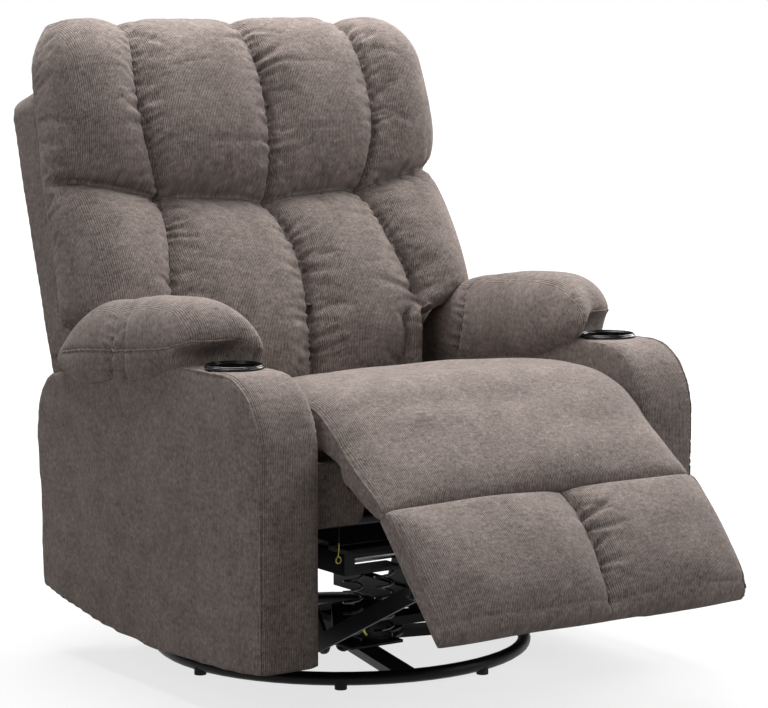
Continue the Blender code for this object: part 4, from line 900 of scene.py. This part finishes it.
# seat and flap in one pad
seatSet = {
    "half": 0.293, "room": 0.305, "stations": 44, "voxel": 0.0055, "fill": 0.7, "boxing": 0.60, "crown": 0.010,
    "sink": 0.004, "ripple": 0.0016, "rear": 0.090, "front": -0.545,
    "top": [(0.100, 0.402), (0.098, 0.418), (0.075, 0.430), (0.0, 0.446), (-0.09, 0.465), (-0.18, 0.484),
            (-0.26, 0.497), (-0.325, 0.501), (-0.372, 0.491), (-0.412, 0.466), (-0.450, 0.434), (-0.492, 0.404),
            (-0.532, 0.378), (-0.5510, 0.360), (-0.5555, 0.344)],
    "underFlap": [(0.1375, 0.003), (0.09, 0.003), (0.03, 0.004)], "flapStart": (0.012, 0.021),
    "underBend": [(-0.3900, 0.4080), (-0.3500, 0.4100), (-0.3165, 0.4050)],
    "underSeat": [(-0.3165, 0.3770), (-0.20, 0.3770), (-0.05, 0.3770), (0.096, 0.3770)],
    "stuff": {"pressure": 4.0, "cap": 0.010, "slack": 0.01, "even": 60},
    "bend": ((-0.335, 0.47), (-0.470, 0.40)),
    "welt": {"x": 0.300, "drop": 0.017, "radius": 0.0020},
}
seatBend = ("seat", "flap", *(place3(0.0, spot) for spot in seatSet["bend"]))


def makeSeatPad():
    top = smoothLine(seatSet["top"], 90)
    bottom = np.concatenate([
        smoothLine([onFlap(*spot) for spot in seatSet["underFlap"]], 14),
        smoothLine([onFlap(*seatSet["flapStart"])] + seatSet["underBend"], 10), np.array(seatSet["underSeat"])])
    rings = []
    for u in acrossPad(seatSet["stations"]):
        lift = boxedLift(seatSet, u)
        crown = seatSet["crown"] * (1 - u ** 2) - seatSet["sink"]
        ring = []
        for y, z in top:
            base = np.interp(y, bottom[:, 0], bottom[:, 1])
            ring.append(place3(u * seatSet["half"], (y, base + (z + crown - base) * lift)))
        ring += [place3(u * seatSet["half"], point) for point in bottom]
        rings.append(ring)
    return remesh(loft("seatPad", rings), seatSet["voxel"], 2)


def seatJob(obj):
    co, no = coordsOf(obj), normalsOf(obj)
    held = (no[:, 2] < -0.5) | (co[:, 1] > seatSet["rear"] + axisY) | (co[:, 1] < seatSet["front"] + axisY)
    return obj, {"held": held, **seatSet["stuff"]}


def finishSeat(obj):
    refine(obj)
    ripple(obj, seatSet["ripple"], 5)
    keepBetween(obj, seatSet["room"])
    upholster(obj, seatBend, seatSet["fill"], "seat_cushion", "flap_pad")
    # a welt where the top meets each side
    kit = seatSet["welt"]
    for side, name in ((-1, "seatWeltRight"), (1, "seatWeltLeft")):
        edge = smoothLine(seatSet["top"][3:-1], 90)
        line = [place3(side * kit["x"], (y, z - kit["drop"])) for y, z in edge]
        welt(name, onSurface(obj, line, threadSet["lift"]), kit["radius"], seatBend)


# legrest panel pad, wrapped round its board
panelSet = {
    "half": 0.292, "stations": 60, "voxel": 0.005, "fill": 0.7, "boxing": 0.64, "floor": 0.0028,
    "ripple": 0.0014, "bend": ((-0.004, 0.03), (0.040, 0.03)),
    "held": {"floor": 0.014, "seam": 0.005, "hinge": 0.004},
    "top": [(-0.005, 0.012), (-0.006, 0.030), (0.002, 0.043), (0.020, 0.051), (0.05, 0.056), (0.09, 0.058),
            (0.13, 0.057), (0.17, 0.051), (0.198, 0.042), (0.214, 0.029), (0.219, 0.010)],
    "under": (0.221, -0.002), "valley": {"x": 0.033, "wide": 0.026, "deep": 0.30},
    "seam": [(0.036, -0.010), (0.038, 0.05), (0.035, 0.11), (0.028, 0.17), (0.020, 0.24)],
    "middle": {"deep": 0.010, "wide": 0.0045, "pleat": 0.0085, "pitch": 0.020, "reach": 0.064, "left": 0.25,
               "right": 1.0, "broad": 1.3},
    "hem": {"deep": 0.0026, "wide": 0.0045}, "hemReach": 0.199, "hemHalf": 0.288,
    "welts": ((0.294, 0.038), (0.300, 0.012)), "weltRun": (-0.002, 0.217), "weltRadius": 0.0019,
    "stuff": {"pressure": 4.0, "cap": 0.008, "slack": 0.01, "even": 12},
}
panelTurn = math.radians(hingeSet["panelAngle"])
panelBend = ("flap", "legrest", *(place3(0.0, onPanel(*spot)) for spot in panelSet["bend"]))


def panelFlat(co):
    y, z = co[:, 1] - axisY - panelHinge[0], co[:, 2] - panelHinge[1]
    return (np.stack([co[:, 0], -y * math.cos(panelTurn) - z * math.sin(panelTurn)], axis=1),
            -y * math.sin(panelTurn) + z * math.cos(panelTurn))


def makePanelPad():
    top = smoothLine(panelSet["top"], 60)
    floor, dent = panelSet["floor"], panelSet["valley"]
    rings = []
    for u in acrossPad(panelSet["stations"]):
        x = u * panelSet["half"]
        lift = boxedLift(panelSet, u)
        valley = 1 - dent["deep"] * math.exp(-abs((x - dent["x"]) / dent["wide"]) ** 1.3)
        ring = [place3(x, onPanel(reach, floor + (h - floor) * lift * valley)) for reach, h in top]
        ring += [place3(x, onPanel(reach, floor)) for reach in np.linspace(*panelSet["under"], 24)]
        rings.append(ring)
    return remesh(loft("legrestPad", rings), panelSet["voxel"], 1)


def panelJob(obj):
    flat, lift = panelFlat(coordsOf(obj))
    kit = panelSet["held"]
    held = (lift < kit["floor"]) | (flat[:, 1] < kit["hinge"])
    held |= nearLine(flat, panelSet["seam"])[0] < kit["seam"]
    return obj, {"held": held, **panelSet["stuff"]}


def finishPanel(obj):
    refine(obj)
    ripple(obj, panelSet["ripple"], 8)
    flat, lift = panelFlat(coordsOf(obj))
    sewSeam(obj, flat, panelSet["seam"], panelSet["middle"], ease(lift, 0.022, 0.036), 31)
    hem = [(x, panelSet["hemReach"]) for x in np.linspace(-panelSet["hemHalf"], panelSet["hemHalf"], 12)]
    flat, lift = panelFlat(coordsOf(obj))
    sewSeam(obj, flat, hem, panelSet["hem"], ease(lift, 0.014, 0.024))
    upholster(obj, panelBend, panelSet["fill"], "legrest_pad")
    inside = [place3(x, onPanel(reach, 0.15)) for x, reach in smoothLine(panelSet["seam"], 120)]
    sinkSeamShadeLine("legrestSeam", obj, inside, (0.0, math.sin(panelTurn), -math.cos(panelTurn)), panelBend)
    # two welts round each side's boxing
    for side, word in ((-1, "Right"), (1, "Left")):
        for number, (x, lift) in enumerate(panelSet["welts"], 1):
            line = [place3(side * x, onPanel(reach, lift)) for reach in np.linspace(*panelSet["weltRun"], 70)]
            name = "legrestWelt%s%d" % (word, number)
            welt(name, onSurface(obj, line, threadSet["lift"]), panelSet["weltRadius"], panelBend)


# arm pads, scooped round the cup holders
armPadSet = {
    "voxel": 0.0045, "fill": 0.7, "middle": 0.366, "out": 0.075, "in": 0.069, "waist": 0.020, "sides": 48,
    "lipOut": 0.040, "lipIn": 0.060, "nose": -0.250, "seamY": 0.000, "rear": 0.212, "tuck": 0.70,
    "stations": 50, "ripple": 0.0016, "welt": 0.0018, "slant": 0.070,
    # how far the nose reaches across the pad, from the outer to the inner side
    "reach": [(-0.075, 0.150), (-0.064, 0.180), (-0.048, 0.200), (-0.025, 0.217), (0.010, 0.229),
              (0.030, 0.247), (0.046, 0.258), (0.069, 0.246)],
    "crown": [(-0.25, 0.636), (-0.153, 0.632), (-0.107, 0.629), (-0.044, 0.624), (0.020, 0.617),
              (0.089, 0.607), (0.142, 0.596), (0.205, 0.575)],
    "notch": (-0.120, -0.020, 0.500), "notchX": -0.319, "notchEase": 0.02,
    "topZ": 0.530, "slope": (-0.200, 0.215, 0.053), "cup": (0.366, -0.254),
    # plan of the recess behind the cup, and of the lip above it
    "recess": [(0.318, -0.40), (0.321, -0.275), (0.328, -0.232), (0.350, -0.186), (0.391, -0.174),
               (0.425, -0.168), (0.445, -0.152), (0.47, -0.142), (0.50, -0.140), (0.50, -0.40)],
    "lip": [(0.318, -0.40), (0.322, -0.275), (0.334, -0.248), (0.350, -0.225), (0.391, -0.219), (0.421, -0.202),
            (0.442, -0.172), (0.47, -0.160), (0.50, -0.158), (0.50, -0.40)],
    "rise": [(0.44, 0.0), (0.540, 0.0), (0.553, 0.25), (0.563, 0.75), (0.567, 1.0), (0.572, 1.25)],
    "upright": {"deep": 0.0075, "wide": 0.0042, "step": 0.0090, "pleat": 0.0090, "pitch": 0.016, "reach": 0.030,
                "left": 0.3},
    "fold": {"deep": 0.0052, "wide": 0.0055, "step": 0.0040, "pleat": 0.0016, "pitch": 0.018, "reach": 0.026,
             "left": 0.3},
    "foldShift": -0.040,
    "uprightLine": [(0.026, 0.465), (0.008, 0.510), (0.004, 0.552), (0.014, 0.590), (0.034, 0.645)],
    "pucker": {"deep": 0.0030, "wide": 0.0040, "pleat": 0.0030, "pitch": 0.017, "reach": 0.030},
    "seam": [(-0.44, 0.182, 0.516), (-0.45, 0.09, 0.529), (-0.45, 0.0, 0.537), (-0.45, -0.08, 0.545),
             (-0.445, -0.140, 0.552), (-0.434, -0.182, 0.561), (-0.421, -0.204, 0.567), (-0.391, -0.221, 0.569),
             (-0.354, -0.227, 0.567), (-0.338, -0.248, 0.557), (-0.322, -0.262, 0.545)],
    "stuff": {"pressure": 4.0, "cap": 0.010, "slack": 0.0},
}


def armTop(y):
    start, end, fall = armPadSet["slope"]
    return armPadSet["topZ"] - fall * np.clip((y - start) / (end - start), 0, 1.2)


def padRing(y):
    # one upright slice of the pad; it thins out to the nose and to the rear
    kit = armPadSet
    if y < kit["seamY"]:
        full = (1 - min(1.0, (kit["seamY"] - y) / (kit["seamY"] - kit["nose"])) ** 3.8) ** 0.44
    else:
        full = rounded((y - kit["seamY"]) / (kit["rear"] - kit["seamY"]), 4.0)
    full = 0.06 + 0.94 * full
    centre = armTop(y) + kit["waist"]
    rise = (np.interp(y, *np.array(kit["crown"]).T) - centre) * full
    narrow = 0.78 + 0.22 * full
    plan = np.array(kit["reach"])
    ring = []
    for k in range(kit["sides"]):
        turn = 2 * math.pi * k / kit["sides"]
        c, s = math.cos(turn), math.sin(turn)
        wide, lip = (kit["out"], kit["lipOut"]) if c < 0 else (kit["in"], kit["lipIn"])
        lip = kit["lipOut"] + (lip - kit["lipOut"]) * abs(c)
        low = full if y > kit["seamY"] and c < 0 else max(full, 0.75)
        off = math.copysign(abs(c) ** 0.80, c) * wide * narrow
        z = centre + (rise * abs(s) ** 0.85 if s > 0 else -(kit["waist"] + lip) * low * abs(s) ** 0.9)
        away = y
        if y < kit["seamY"]:
            # the front draws back below its seam
            away = y * np.interp(off, plan[:, 0], plan[:, 1]) / -kit["nose"]
            away += kit["tuck"] * max(0.0, centre - z) * (y / kit["nose"]) ** 3
        ring.append((off - kit["middle"], away + axisY, z))
    return ring


def makeArmPad():
    kit = armPadSet
    share = (1 - np.cos(np.linspace(0, math.pi, kit["stations"]))) / 2
    ys = kit["nose"] + (kit["rear"] - kit["nose"]) * share
    obj = loft("rightArmPad", [padRing(y) for y in ys])
    recess, lip = np.array(kit["recess"]), np.array(kit["lip"])
    rings = []
    for z, share in kit["rise"]:
        plan = smoothLine((recess + (lip - recess) * share)[:9], 40)
        rings.append([(-x, y + axisY, z) for x, y in list(plan) + [tuple(recess[9])]])
    tool = loft("scoopTool", rings)
    for piece in (obj, tool):
        remesh(piece, 0.003, 0)
    step = obj.modifiers.new("scoop", "BOOLEAN")
    step.operation = "DIFFERENCE"
    step.object = tool
    settle(obj)
    bpy.data.objects.remove(tool)
    return remesh(obj, kit["voxel"], 3)


def uprightLine(shift):
    return smoothLine([(y + shift, z) for y, z in armPadSet["uprightLine"]], 24)


def padFlat(obj):
    # side view of a pad, its inner side drawn forward so that the upright seam slants
    co = coordsOf(obj)
    inner = ease(co[:, 0] + armPadSet["middle"], -0.01, 0.060)
    return np.stack([co[:, 1] - axisY - armPadSet["slant"] * inner, co[:, 2]], axis=1), inner


def armPadJob(obj):
    co, no = coordsOf(obj), normalsOf(obj)
    flat, _ = padFlat(obj)
    held = (no[:, 2] < -0.6) | (nearLine(flat, uprightLine(0.0))[0] < 0.004)
    held |= (co[:, 1] - axisY < -0.15) & (no[:, 1] < -0.4)
    return obj, {"held": held, **armPadSet["stuff"]}


def notchForTab(obj):
    # the right pad leaves room for the pull tab
    co = coordsOf(obj)
    start, end, high = armPadSet["notch"]
    soft, y = armPadSet["notchEase"], co[:, 1] - axisY
    near = ease(y, start - soft, start) * (1 - ease(y, end, end + soft)) * (co[:, 0] > armPadSet["notchX"])
    co[:, 2] += near * np.maximum(0.0, high - co[:, 2])
    setCoords(obj, co)


def finishArmPad(obj):
    refine(obj)
    ripple(obj, armPadSet["ripple"], 3)
    for shift, which, seed in ((0.0, "upright", 41), (armPadSet["foldShift"], "fold", 42)):
        flat, inner = padFlat(obj)
        sewSeam(obj, flat, uprightLine(shift), armPadSet[which], 1 - inner if which == "fold" else None, seed)
    seam = smoothLine(armPadSet["seam"], 150) + (0.0, axisY, 0.0)
    seam = smoothLine(onSurface(obj, seam, 0.0)[::5], 150)
    sewSeam(obj, coordsOf(obj), seam, armPadSet["pucker"])
    seam = onSurface(obj, seam, 0.0006)
    twin = mirrored(obj, "leftArmPad")
    notchForTab(obj)
    for piece, word, sign in ((obj, "right", 1), (twin, "left", -1)):
        upholster(piece, "frame", armPadSet["fill"], word + "_arm_pad")
        welt(word + "PadWelt", seam * (sign, 1, 1), armPadSet["welt"], "frame")


# arms
armSet = {
    "voxel": 0.004, "fill": 0.9, "in": 0.312, "out": 0.420, "front": -0.411, "curveY": -0.300, "curveZ": 0.415,
    "topZ": 0.530, "footZ": 0.083, "flatRun": (-0.295, -0.190), "puffOut": 0.006, "puffFront": 0.004,
    "band": 0.010, "inset": 0.0040, "edge": {"deep": 0.0042, "wide": 0.0050}, "ripple": 0.0016,
    "welt": {"inset": 0.0015, "radius": 0.0022},
}


def bulge(values, middle, half):
    # full in the middle, flat at both ends
    return np.clip(1 - ((values - middle) / half) ** 4, 0, 1)


def armFrontLine(x, inset):
    # up the front of the arm and over its curve to the cup
    kit = armSet
    line = [(x, kit["front"] + inset, z) for z in np.linspace(kit["footZ"] + 0.004, kit["curveZ"], 60)]
    deep, tall = kit["curveY"] - kit["front"] - inset, kit["topZ"] - kit["curveZ"] - inset
    for a in np.linspace(0, math.pi / 2, 40)[1:]:
        line.append((x, kit["curveY"] - deep * math.cos(a), kit["curveZ"] + tall * math.sin(a)))
    line += [(x, y, kit["topZ"] - inset) for y in np.linspace(*kit["flatRun"], 20)]
    return [(px, py + axisY, pz) for px, py, pz in line]


def makeArms():
    kit = armSet
    obj = copyNode("rightArm", "right_arm")
    remesh(obj, kit["voxel"], 5)
    co, no = coordsOf(obj), normalsOf(obj)
    y, z = co[:, 1] - axisY, co[:, 2]
    co[:, 0] -= kit["puffOut"] * (bulge(y, -0.06, 0.36) * bulge(z, 0.29, 0.25)) * ease(-no[:, 0], 0.4, 0.9)
    strip = bulge(co[:, 0], -0.366, 0.056) * ease(-no[:, 1] + 0.6 * no[:, 2], 0.3, 0.9)
    co += no * (kit["puffFront"] * strip * ease(-y, 0.300, 0.34))[:, None]
    setCoords(obj, co)
    wide = ease(-y, -0.36, -0.30) * 0.5 + 0.5
    ripple(obj, kit["ripple"], 14, wide * ease(-no[:, 0], 0.2, 0.8))
    for x in (-kit["out"] + kit["inset"], -kit["in"] - kit["inset"]):
        sewSeam(obj, coordsOf(obj), armFrontLine(x, kit["inset"]), kit["edge"])
    twin = mirrored(obj, "leftArm")
    inset = kit["welt"]["inset"]
    edge = onSurface(obj, armFrontLine(-kit["out"] + inset, inset), threadSet["lift"])
    stitch = onSurface(obj, armFrontLine(-kit["out"] + kit["band"], 0.0), 0.0003)
    for piece, word, sign in ((obj, "right", 1), (twin, "left", -1)):
        upholster(piece, "frame", kit["fill"], word + "_arm")
        welt(word + "ArmWelt", edge * (sign, 1, 1), kit["welt"]["radius"], "frame")
        stitchRow(word + "ArmStitch", stitch * (sign, 1, 1), "frame")


# back shell, its soft corners, the apron, and a black sheet across the rear that is painted shade for the dark
# inside of the chair
shellSet = {
    "voxel": 0.006, "fill": 0.85, "puff": 0.010, "flat": 0.006, "half": 0.372, "high": 0.570, "step": 0.112,
    "thick": 0.105, "ripple": 0.0016, "inset": 0.022, "corner": 0.02, "edge": {"deep": 0.003, "wide": 0.0045},
    "cheek": {"low": 0.050, "high": 0.128, "in": 0.240, "out": 0.303, "rear": -0.060, "front": 0.004},
    "skirt": {"low": 0.076, "high": 0.124, "in": 0.285, "rear": -0.105, "front": -0.060, "gap": 0.004,
              "draw": 0.010, "drawHigh": 0.012},
}
apronSet = {"voxel": 0.004, "fill": 0.6, "wing": 0.214, "ripple": 0.001}
# the black sheet at the rear: painted shade where the inside of the chair lies in shadow
shadeSheetSet = {
    "half": 0.309, "y": 0.236, "low": 0.105, "lowLeft": 0.086, "high": 0.268, "sag": 0.010, "hem": 0.004,
    "thick": 0.001, "across": 60, "down": 20, "wave": 0.002,
}


def makeShell():
    obj = copyNode("backShell", "back_shell")
    cheek = shellSet["cheek"]
    for left, right in ((-cheek["out"], -cheek["in"]), (cheek["in"], cheek["out"])):
        join(obj, backBlock("cheek", cheek, left, right))  # fills a corner between the arms
    remesh(obj, shellSet["voxel"], 5)
    refine(obj)
    flat, out = backFlat(coordsOf(obj))
    swell = bulge(flat[:, 0], 0.0, 0.36) * bulge(flat[:, 1], 0.3, 0.29)
    behind = ease(-out, shellSet["thick"] * 0.75, shellSet["thick"])
    push = behind * (shellSet["puff"] * swell - shellSet["flat"])
    setCoords(obj, coordsOf(obj) + np.array(behindBack) * push[:, None])
    ripple(obj, shellSet["ripple"], 17)
    h, top = (shellSet[word] - shellSet["inset"] for word in ("half", "high"))
    low, bend = shellSet["step"] + 0.01, shellSet["corner"]
    border = [(-h, low), (-h, top - bend), (-h + bend, top), (h - bend, top), (h, top - bend), (h, low)]
    sewSeam(obj, backFlat(coordsOf(obj))[0], border, shellSet["edge"], behind)
    upholster(obj, "back", shellSet["fill"], "back_shell")


def makeSkirts():
    # soft corners below the shell, behind the arms
    kit = shellSet["skirt"]
    for side, name in ((-1, "shellSkirtRight"), (1, "shellSkirtLeft")):
        rings = []
        for v in np.linspace(kit["low"], kit["high"], 5):
            drawn = kit["draw"] * float(ease(-v, -kit["low"] - kit["drawHigh"], -kit["low"]))
            outer = shellSet["half"] - kit["gap"] - drawn
            corners = ((kit["in"], kit["rear"]), (outer, kit["rear"]), (outer, kit["front"]),
                       (kit["in"], kit["front"]))
            rings.append([backPoint(side * x, v, out) for x, out in corners][::side])
        obj = remesh(loft(name, rings), shellSet["voxel"], 4)
        refine(obj)
        coat(obj, finishes["taupe_chenille"])
        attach(obj, "back")
        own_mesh(obj)


def makeApron():
    # fabric wings beside the legrest, black between them
    obj = copyNode("frontApron", "front_apron")
    remesh(obj, apronSet["voxel"], 4)
    ripple(obj, apronSet["ripple"], 19)
    upholster(obj, "frame", apronSet["fill"], "front_apron")
    obj.data.materials.append(blackClothAndShade)
    for face in obj.data.polygons:
        face.material_index = int(abs(face.center.x) < apronSet["wing"])


# a black sheet hung across the rear under the seat, painted shade for the chair's dark inside
def makeShadeSheet():
    kit = shadeSheetSet
    points, faces = [], []
    across, down = kit["across"], kit["down"]
    for j in range(down + 1):
        for i in range(across + 1):
            u, v = 2 * i / across - 1, j / down
            x = kit["half"] * u
            slack = kit["sag"] * (1 - u * u) * math.sin(math.pi * v)
            slack += kit["wave"] * math.sin(23 * u + 4 * v) * v * (1 - u * u)
            low = kit["low"] + (kit["lowLeft"] - kit["low"]) * float(ease(x, 0.12, 0.17))
            points.append((x, kit["y"] + axisY + slack, kit["high"] + (low - kit["high"]) * v))
    for j in range(down):
        for i in range(across):
            a = j * (across + 1) + i
            faces.append((a, a + 1, a + across + 2, a + across + 1))
    obj = addMesh("rearShadeSheet", points, faces)
    thick = obj.modifiers.new("thick", "SOLIDIFY")
    thick.thickness = kit["thick"]
    settle(obj)
    coat(obj, blackClothAndShade)
    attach(obj, "frame")


# hard pieces of the CAD frame, with their edges softened
edgeSet = {"weld": 0.00002, "wide": 0.0009, "rounds": 2, "angle": 38, "round": ("ring", "cable")}


def dressNodes():
    for row in frame["record"]["subparts"]:
        node, slot = cad[row["node"]], row["material_slot"]
        node.data.materials.clear()
        node.data.materials.append(finishes[slot])
        if slot == "taupe_chenille":
            continue
        if "custom_normal" in node.data.attributes:
            node.data.attributes.remove(node.data.attributes["custom_normal"])
        node.data.shade_smooth()
        weld = node.modifiers.new("weld", "WELD")
        weld.merge_threshold = edgeSet["weld"]
        if any(word in row["node"] for word in edgeSet["round"]):
            continue
        edge = node.modifiers.new("edge", "BEVEL")
        edge.width, edge.segments = edgeSet["wide"], edgeSet["rounds"]
        edge.limit_method = "ANGLE"
        edge.angle_limit = math.radians(edgeSet["angle"])
        node.modifiers.new("flats", "WEIGHTED_NORMAL")


def makeSprings():
    # coil springs between the carriage and the rocking frame, copied in place
    for word in ("right_inner", "right_outer", "left_inner", "left_outer"):
        node = "rocker_spring_" + word
        obj = copyNode("coil_" + word, node)
        obj.data.shade_smooth()
        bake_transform(obj)
        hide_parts(node)


# small hardware that the mechanism shows
hardwareSet = {
    "bolt": {"radius": 0.0085, "high": 0.006, "spot": (0.100, -0.0348), "gap": 0.0004},
    "cupBead": {"radius": 0.0432, "wire": 0.0016, "z": 0.5346},
    "hanger": {"x": -0.2012, "y": -0.294, "run": (0.334, 0.246), "wire": 0.0012},
    "tail": {"line": [(-0.2012, -0.294, 0.246), (-0.2016, -0.294, 0.235), (-0.2030, -0.294, 0.2235)],
             "wire": 0.0013},
    "loop": {"place": (-0.2020, -0.294, 0.2185), "wide": 0.0048, "tall": 0.0052, "turn": (-0.2, 6.0),
             "wire": 0.0012},
    "hook": {"line": [(-0.1525, -0.2925, 0.109), (-0.1545, -0.2945, 0.103), (-0.1530, -0.2950, 0.097),
                      (-0.1490, -0.2945, 0.0925)], "wire": 0.0020},
}


def addBeads():
    # the bright inner ring of each cup holder
    kit = hardwareSet["cupBead"]
    x, y = armPadSet["cup"]
    r = kit["radius"]
    for sign, word in ((-1, "right"), (1, "left")):
        line = [(sign * x + r * math.cos(t), y + axisY + r * math.sin(t), kit["z"])
                for t in np.linspace(0, 2 * math.pi, 73)]
        bar(word + "CupBead", line, kit["wire"], finishes["black_plastic"], "frame", 10)


def hexBolt(name, centre, body, sign):
    # a hex head on a washer, facing out to one side
    turn = turnAlong((sign, 0, 0))
    x, y, z = centre
    r, h = hardwareSet["bolt"]["radius"], hardwareSet["bolt"]["high"]
    head = ((0.0015, r), (h - 0.001, r), (h, r * 0.86))
    washer = ((0.0, r * 1.35), (0.0012, r * 1.35), (0.0016, r * 1.25))
    points, faces = [], []
    for steps, sides in ((head, 6), (washer, 24)):
        more, rims = rodMesh([[((x + sign * d, y, z), turn, size) for d, size in steps]], sides)
        faces += [tuple(i + len(points) for i in rim) for rim in rims]
        points += more
    obj = addMesh(name, points, faces)
    obj.data.materials.append(finishes["black_steel"])
    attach(obj, body)


def addHardware():
    addBeads()
    bolt, hanger, tail, loop, hook = (hardwareSet[word] for word in ("bolt", "hanger", "tail", "loop", "hook"))
    for sign, word in ((-1, "Right"), (1, "Left")):
        low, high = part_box("legrest_bracket_" + word.lower())
        outer = low.x if sign < 0 else high.x
        hexBolt("linkBolt" + word, place3(outer + sign * bolt["gap"], onPanel(*bolt["spot"])), "legrest", sign)
    # a wire that hangs from the seat's front bar, and the hook on the spring bracket
    line = [(hanger["x"], hanger["y"] + axisY, z) for z in np.linspace(*hanger["run"], 12)]
    bar("hangerWire", line, hanger["wire"], finishes["black_steel"], "seat")
    bar("yellowWire", smoothLine(tail["line"], 12) + (0, axisY, 0), tail["wire"], yellowZinc, "seat")
    x, y, z = loop["place"]
    line = [(x + loop["wide"] * math.sin(t), y + axisY, z + loop["tall"] * math.cos(t))
            for t in np.linspace(*loop["turn"], 25)]
    bar("yellowLoop", line, loop["wire"], yellowZinc, "seat")
    bar("yellowHook", smoothLine(hook["line"], 14) + (0, axisY, 0), hook["wire"], yellowZinc, "carriage")


floorSet = {
    "half": 40.0,
    "shader": {"Base_Color": (0.90, 0.90, 0.90, 1.0), "Roughness": 0.95, "Specular_IOR_Level": 0.1},
    # the floor's own glow, and how it rises away from the chair
    "glow": 0.76, "rise": {"From_Min": 0.5, "From_Max": 4.0, "To_Min": 0.975, "To_Max": 1.5},
}


def addFloor():
    s = floorSet["half"]
    floor = addMesh("floor", [(-s, -s, 0), (s, -s, 0), (s, s, 0), (-s, s, 0)], [(0, 1, 2, 3)])
    material, tree, shader = newMaterial("paleFloor")
    setInputs(shader, **floorSet["shader"])
    rays = addNode(tree, "LightPath").outputs
    mirror = plus(tree, rays["Is Glossy Ray"], rays["Is Transmission Ray"])
    seen = calc(tree, "MINIMUM", plus(tree, rays["Is Camera Ray"], mirror), 1.0)
    x, y, _ = split(tree, addNode(tree, "TexCoord").outputs["Object"])
    away = calc(tree, "SQRT", plus(tree, times(tree, x, x), times(tree, y, y)))
    far = addNode(tree, "MapRange", **floorSet["rise"])
    tree.links.new(away, far.inputs["Value"])
    glow = addNode(tree, "Emission")
    tree.links.new(times(tree, seen, far.outputs["Result"]), glow.inputs["Strength"])
    mix = addNode(tree, "MixShader", Fac=floorSet["glow"])
    tree.links.new(shader.outputs[0], mix.inputs[1])
    tree.links.new(glow.outputs[0], mix.inputs[2])
    tree.links.new(mix.outputs[0], tree.nodes["Material Output"].inputs["Surface"])
    floor.data.materials.append(material)


def addWorld():
    world = bpy.data.worlds.new("softStudio")
    world.use_nodes = True
    scene.world = world
    tree, dim = world.node_tree, lightSet["world"]
    back = setInputs(tree.nodes["Background"], Color=(1.0, 1.0, 1.0, 1.0))
    seen = addNode(tree, "LightPath").outputs["Is Camera Ray"]
    tree.links.new(calc(tree, "MULTIPLY_ADD", seen, 1.0 - dim, dim), back.inputs["Strength"])
    scene.view_settings.view_transform = "Standard"


addCamera()
addLights()
addFloor()
addWorld()
dressNodes()
print("stage and hard pieces done")

backCushion = makeBackCushion()
seatPad = makeSeatPad()
panelPad = makePanelPad()
armPad = makeArmPad()
print("soft shapes made")
holdAndStuff([backJob(backCushion), seatJob(seatPad), panelJob(panelPad), armPadJob(armPad)])
finishBack(backCushion)
finishSeat(seatPad)
finishPanel(panelPad)
finishArmPad(armPad)
makeArms()
makeShell()
makeSkirts()
makeApron()
makeShadeSheet()
print("soft pieces done")
makeSprings()
addHardware()
print("hardware done")
